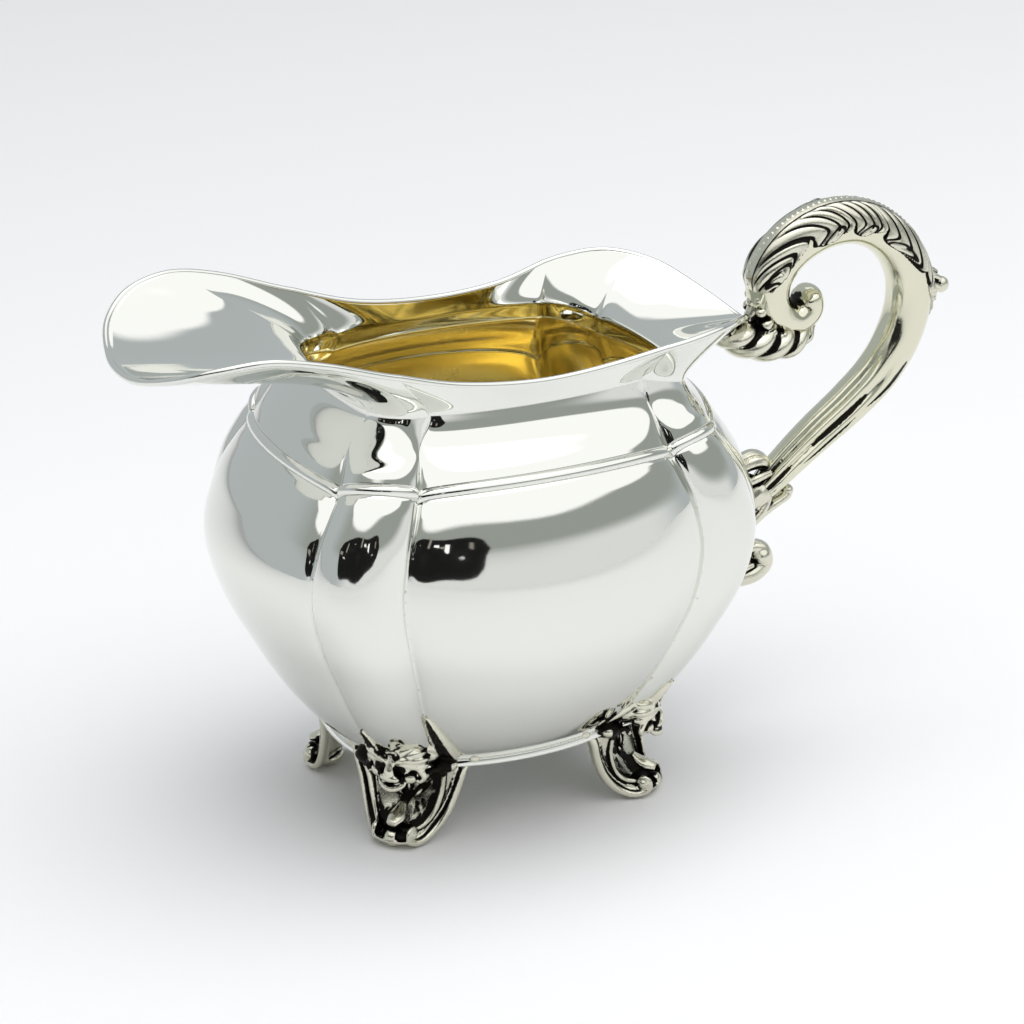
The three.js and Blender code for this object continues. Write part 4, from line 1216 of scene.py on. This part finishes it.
# a brighter panel straight overhead
overhead = sky.new("ShaderNodeMapRange")
overhead.interpolation_type = "SMOOTHSTEP"
overhead.inputs["From Min"].default_value = 0.86
overhead.inputs["From Max"].default_value = 0.95
overhead.inputs["To Min"].default_value = 1.0
overhead.inputs["To Max"].default_value = 1.0 + studio["zenith"]
strength = sky.new("ShaderNodeMath")
strength.operation = "MULTIPLY"
skyLink(split.outputs["Z"], overhead.inputs["Value"])
skyLink(overhead.outputs["Result"], strength.inputs[0])
skyLink(dim.outputs["Result"], strength.inputs[1])
skyLink(strength.outputs[0], sky["Background"].inputs["Strength"])
boxLight = bpy.data.lights.new("softbox", "AREA")
boxLight.shape = "DISK"
boxLight.size = studio["softbox"]["size"]
boxLight.energy = studio["softbox"]["power"]
softbox = bpy.data.objects.new("softbox", boxLight)
scene.collection.objects.link(softbox)
softbox.location = (Vector(studio["softbox"]["place"]) + Vector((bodyX, 0, 0))) * mm
softbox.rotation_euler = (Vector((bodyX, 0, 0)) * mm - softbox.location).to_track_quat("-Z", "Y").to_euler()
softbox.visible_glossy = False
skyLink(paint.outputs[2], sky["Background"].inputs["Color"])
scene.view_settings.view_transform = "Standard"


# a card bent round the jug, outlined in degrees of azimuth and elevation, seen only in reflections
def card(name, outline, distance, mat):
    points = []
    for azimuth, elevation in outline:
        az, el = math.radians(azimuth), math.radians(elevation)
        points.append((bodyX * mm - distance * math.sin(az) * math.cos(el), -distance * math.cos(az) * math.cos(el),
                       0.05 + distance * math.sin(el)))
    mesh = bpy.data.meshes.new(name)
    mesh.from_pydata(points, [], [list(range(len(points)))])
    mesh.materials.append(mat)
    obj = bpy.data.objects.new(name, mesh)
    scene.collection.objects.link(obj)
    obj.visible_camera = False
    obj.visible_diffuse = False
    obj.visible_shadow = False
    return obj


# the dark opening in front of the table, in upright strips with an uneven top and bottom, and what shines in it
gap = dict(left=84, right=8, low=2, high=27, strips=26, lights=15)
dark = emitter("gapDark", studio["gapDark"], 1)
bright = emitter("lampWhite", (1, 1, 1), 1.3)
dim = emitter("lampGrey", (0.32, 0.3, 0.27), 1.0)
rng = np.random.default_rng(23)
edgeAzimuth = np.linspace(gap["right"], gap["left"], gap["strips"] + 1)
across = np.linspace(-1, 1, gap["strips"] + 1)
roundOff = np.sqrt(np.maximum(1 - np.abs(across) ** 5, 0))
middle = (gap["low"] + gap["high"]) / 2
reach = (gap["high"] - gap["low"]) / 2
topEdge = middle + reach * roundOff * (1 + 0.10 * np.sin(across * 5.0 + 0.6))
lowEdgeLine = middle - reach * roundOff * (1 + 0.08 * np.sin(across * 7.0 + 2.0))
for k in range(gap["strips"]):
    a, b = edgeAzimuth[k:k + 2]
    card("gap_strip_%02d" % k, [(a, lowEdgeLine[k]), (b, lowEdgeLine[k + 1]), (b, topEdge[k + 1]), (a, topEdge[k])],
         0.62, dark)
for k in range(gap["lights"]):
    azimuth = gap["right"] + 5 + (gap["left"] - gap["right"] - 10) * (k + rng.uniform(0.1, 0.9)) / gap["lights"]
    elevation = rng.uniform(9, 23)
    w, h = (rng.uniform(0.8, 1.6), rng.uniform(3, 7)) if k % 3 == 0 else (rng.uniform(1.4, 3.2), rng.uniform(1.0, 2.4))
    lean = rng.uniform(-0.8, 0.8)
    card("gap_light_%02d" % k, [(azimuth - w, elevation - h), (azimuth + w, elevation - h * 0.8),
                                (azimuth + w + lean, elevation + h), (azimuth - w + lean, elevation + h * 0.85)],
         0.61, bright if k % 2 else dim)

shot = dict(place=(-237.5, -523.7, 299.1), target=(6.15, 0, 51.35), lens=123.73)
camData = bpy.data.cameras.new("camera")
camData.lens = shot["lens"]
camData.sensor_width = 36
camera = bpy.data.objects.new("camera", camData)
scene.collection.objects.link(camera)
camera.location = (Vector(shot["place"]) + Vector((bodyX, 0, 0))) * mm
aim = (Vector(shot["target"]) + Vector((bodyX, 0, 0))) * mm - camera.location
camera.rotation_euler = aim.to_track_quat("-Z", "Y").to_euler()
scene.camera = camera
print("studio ready")
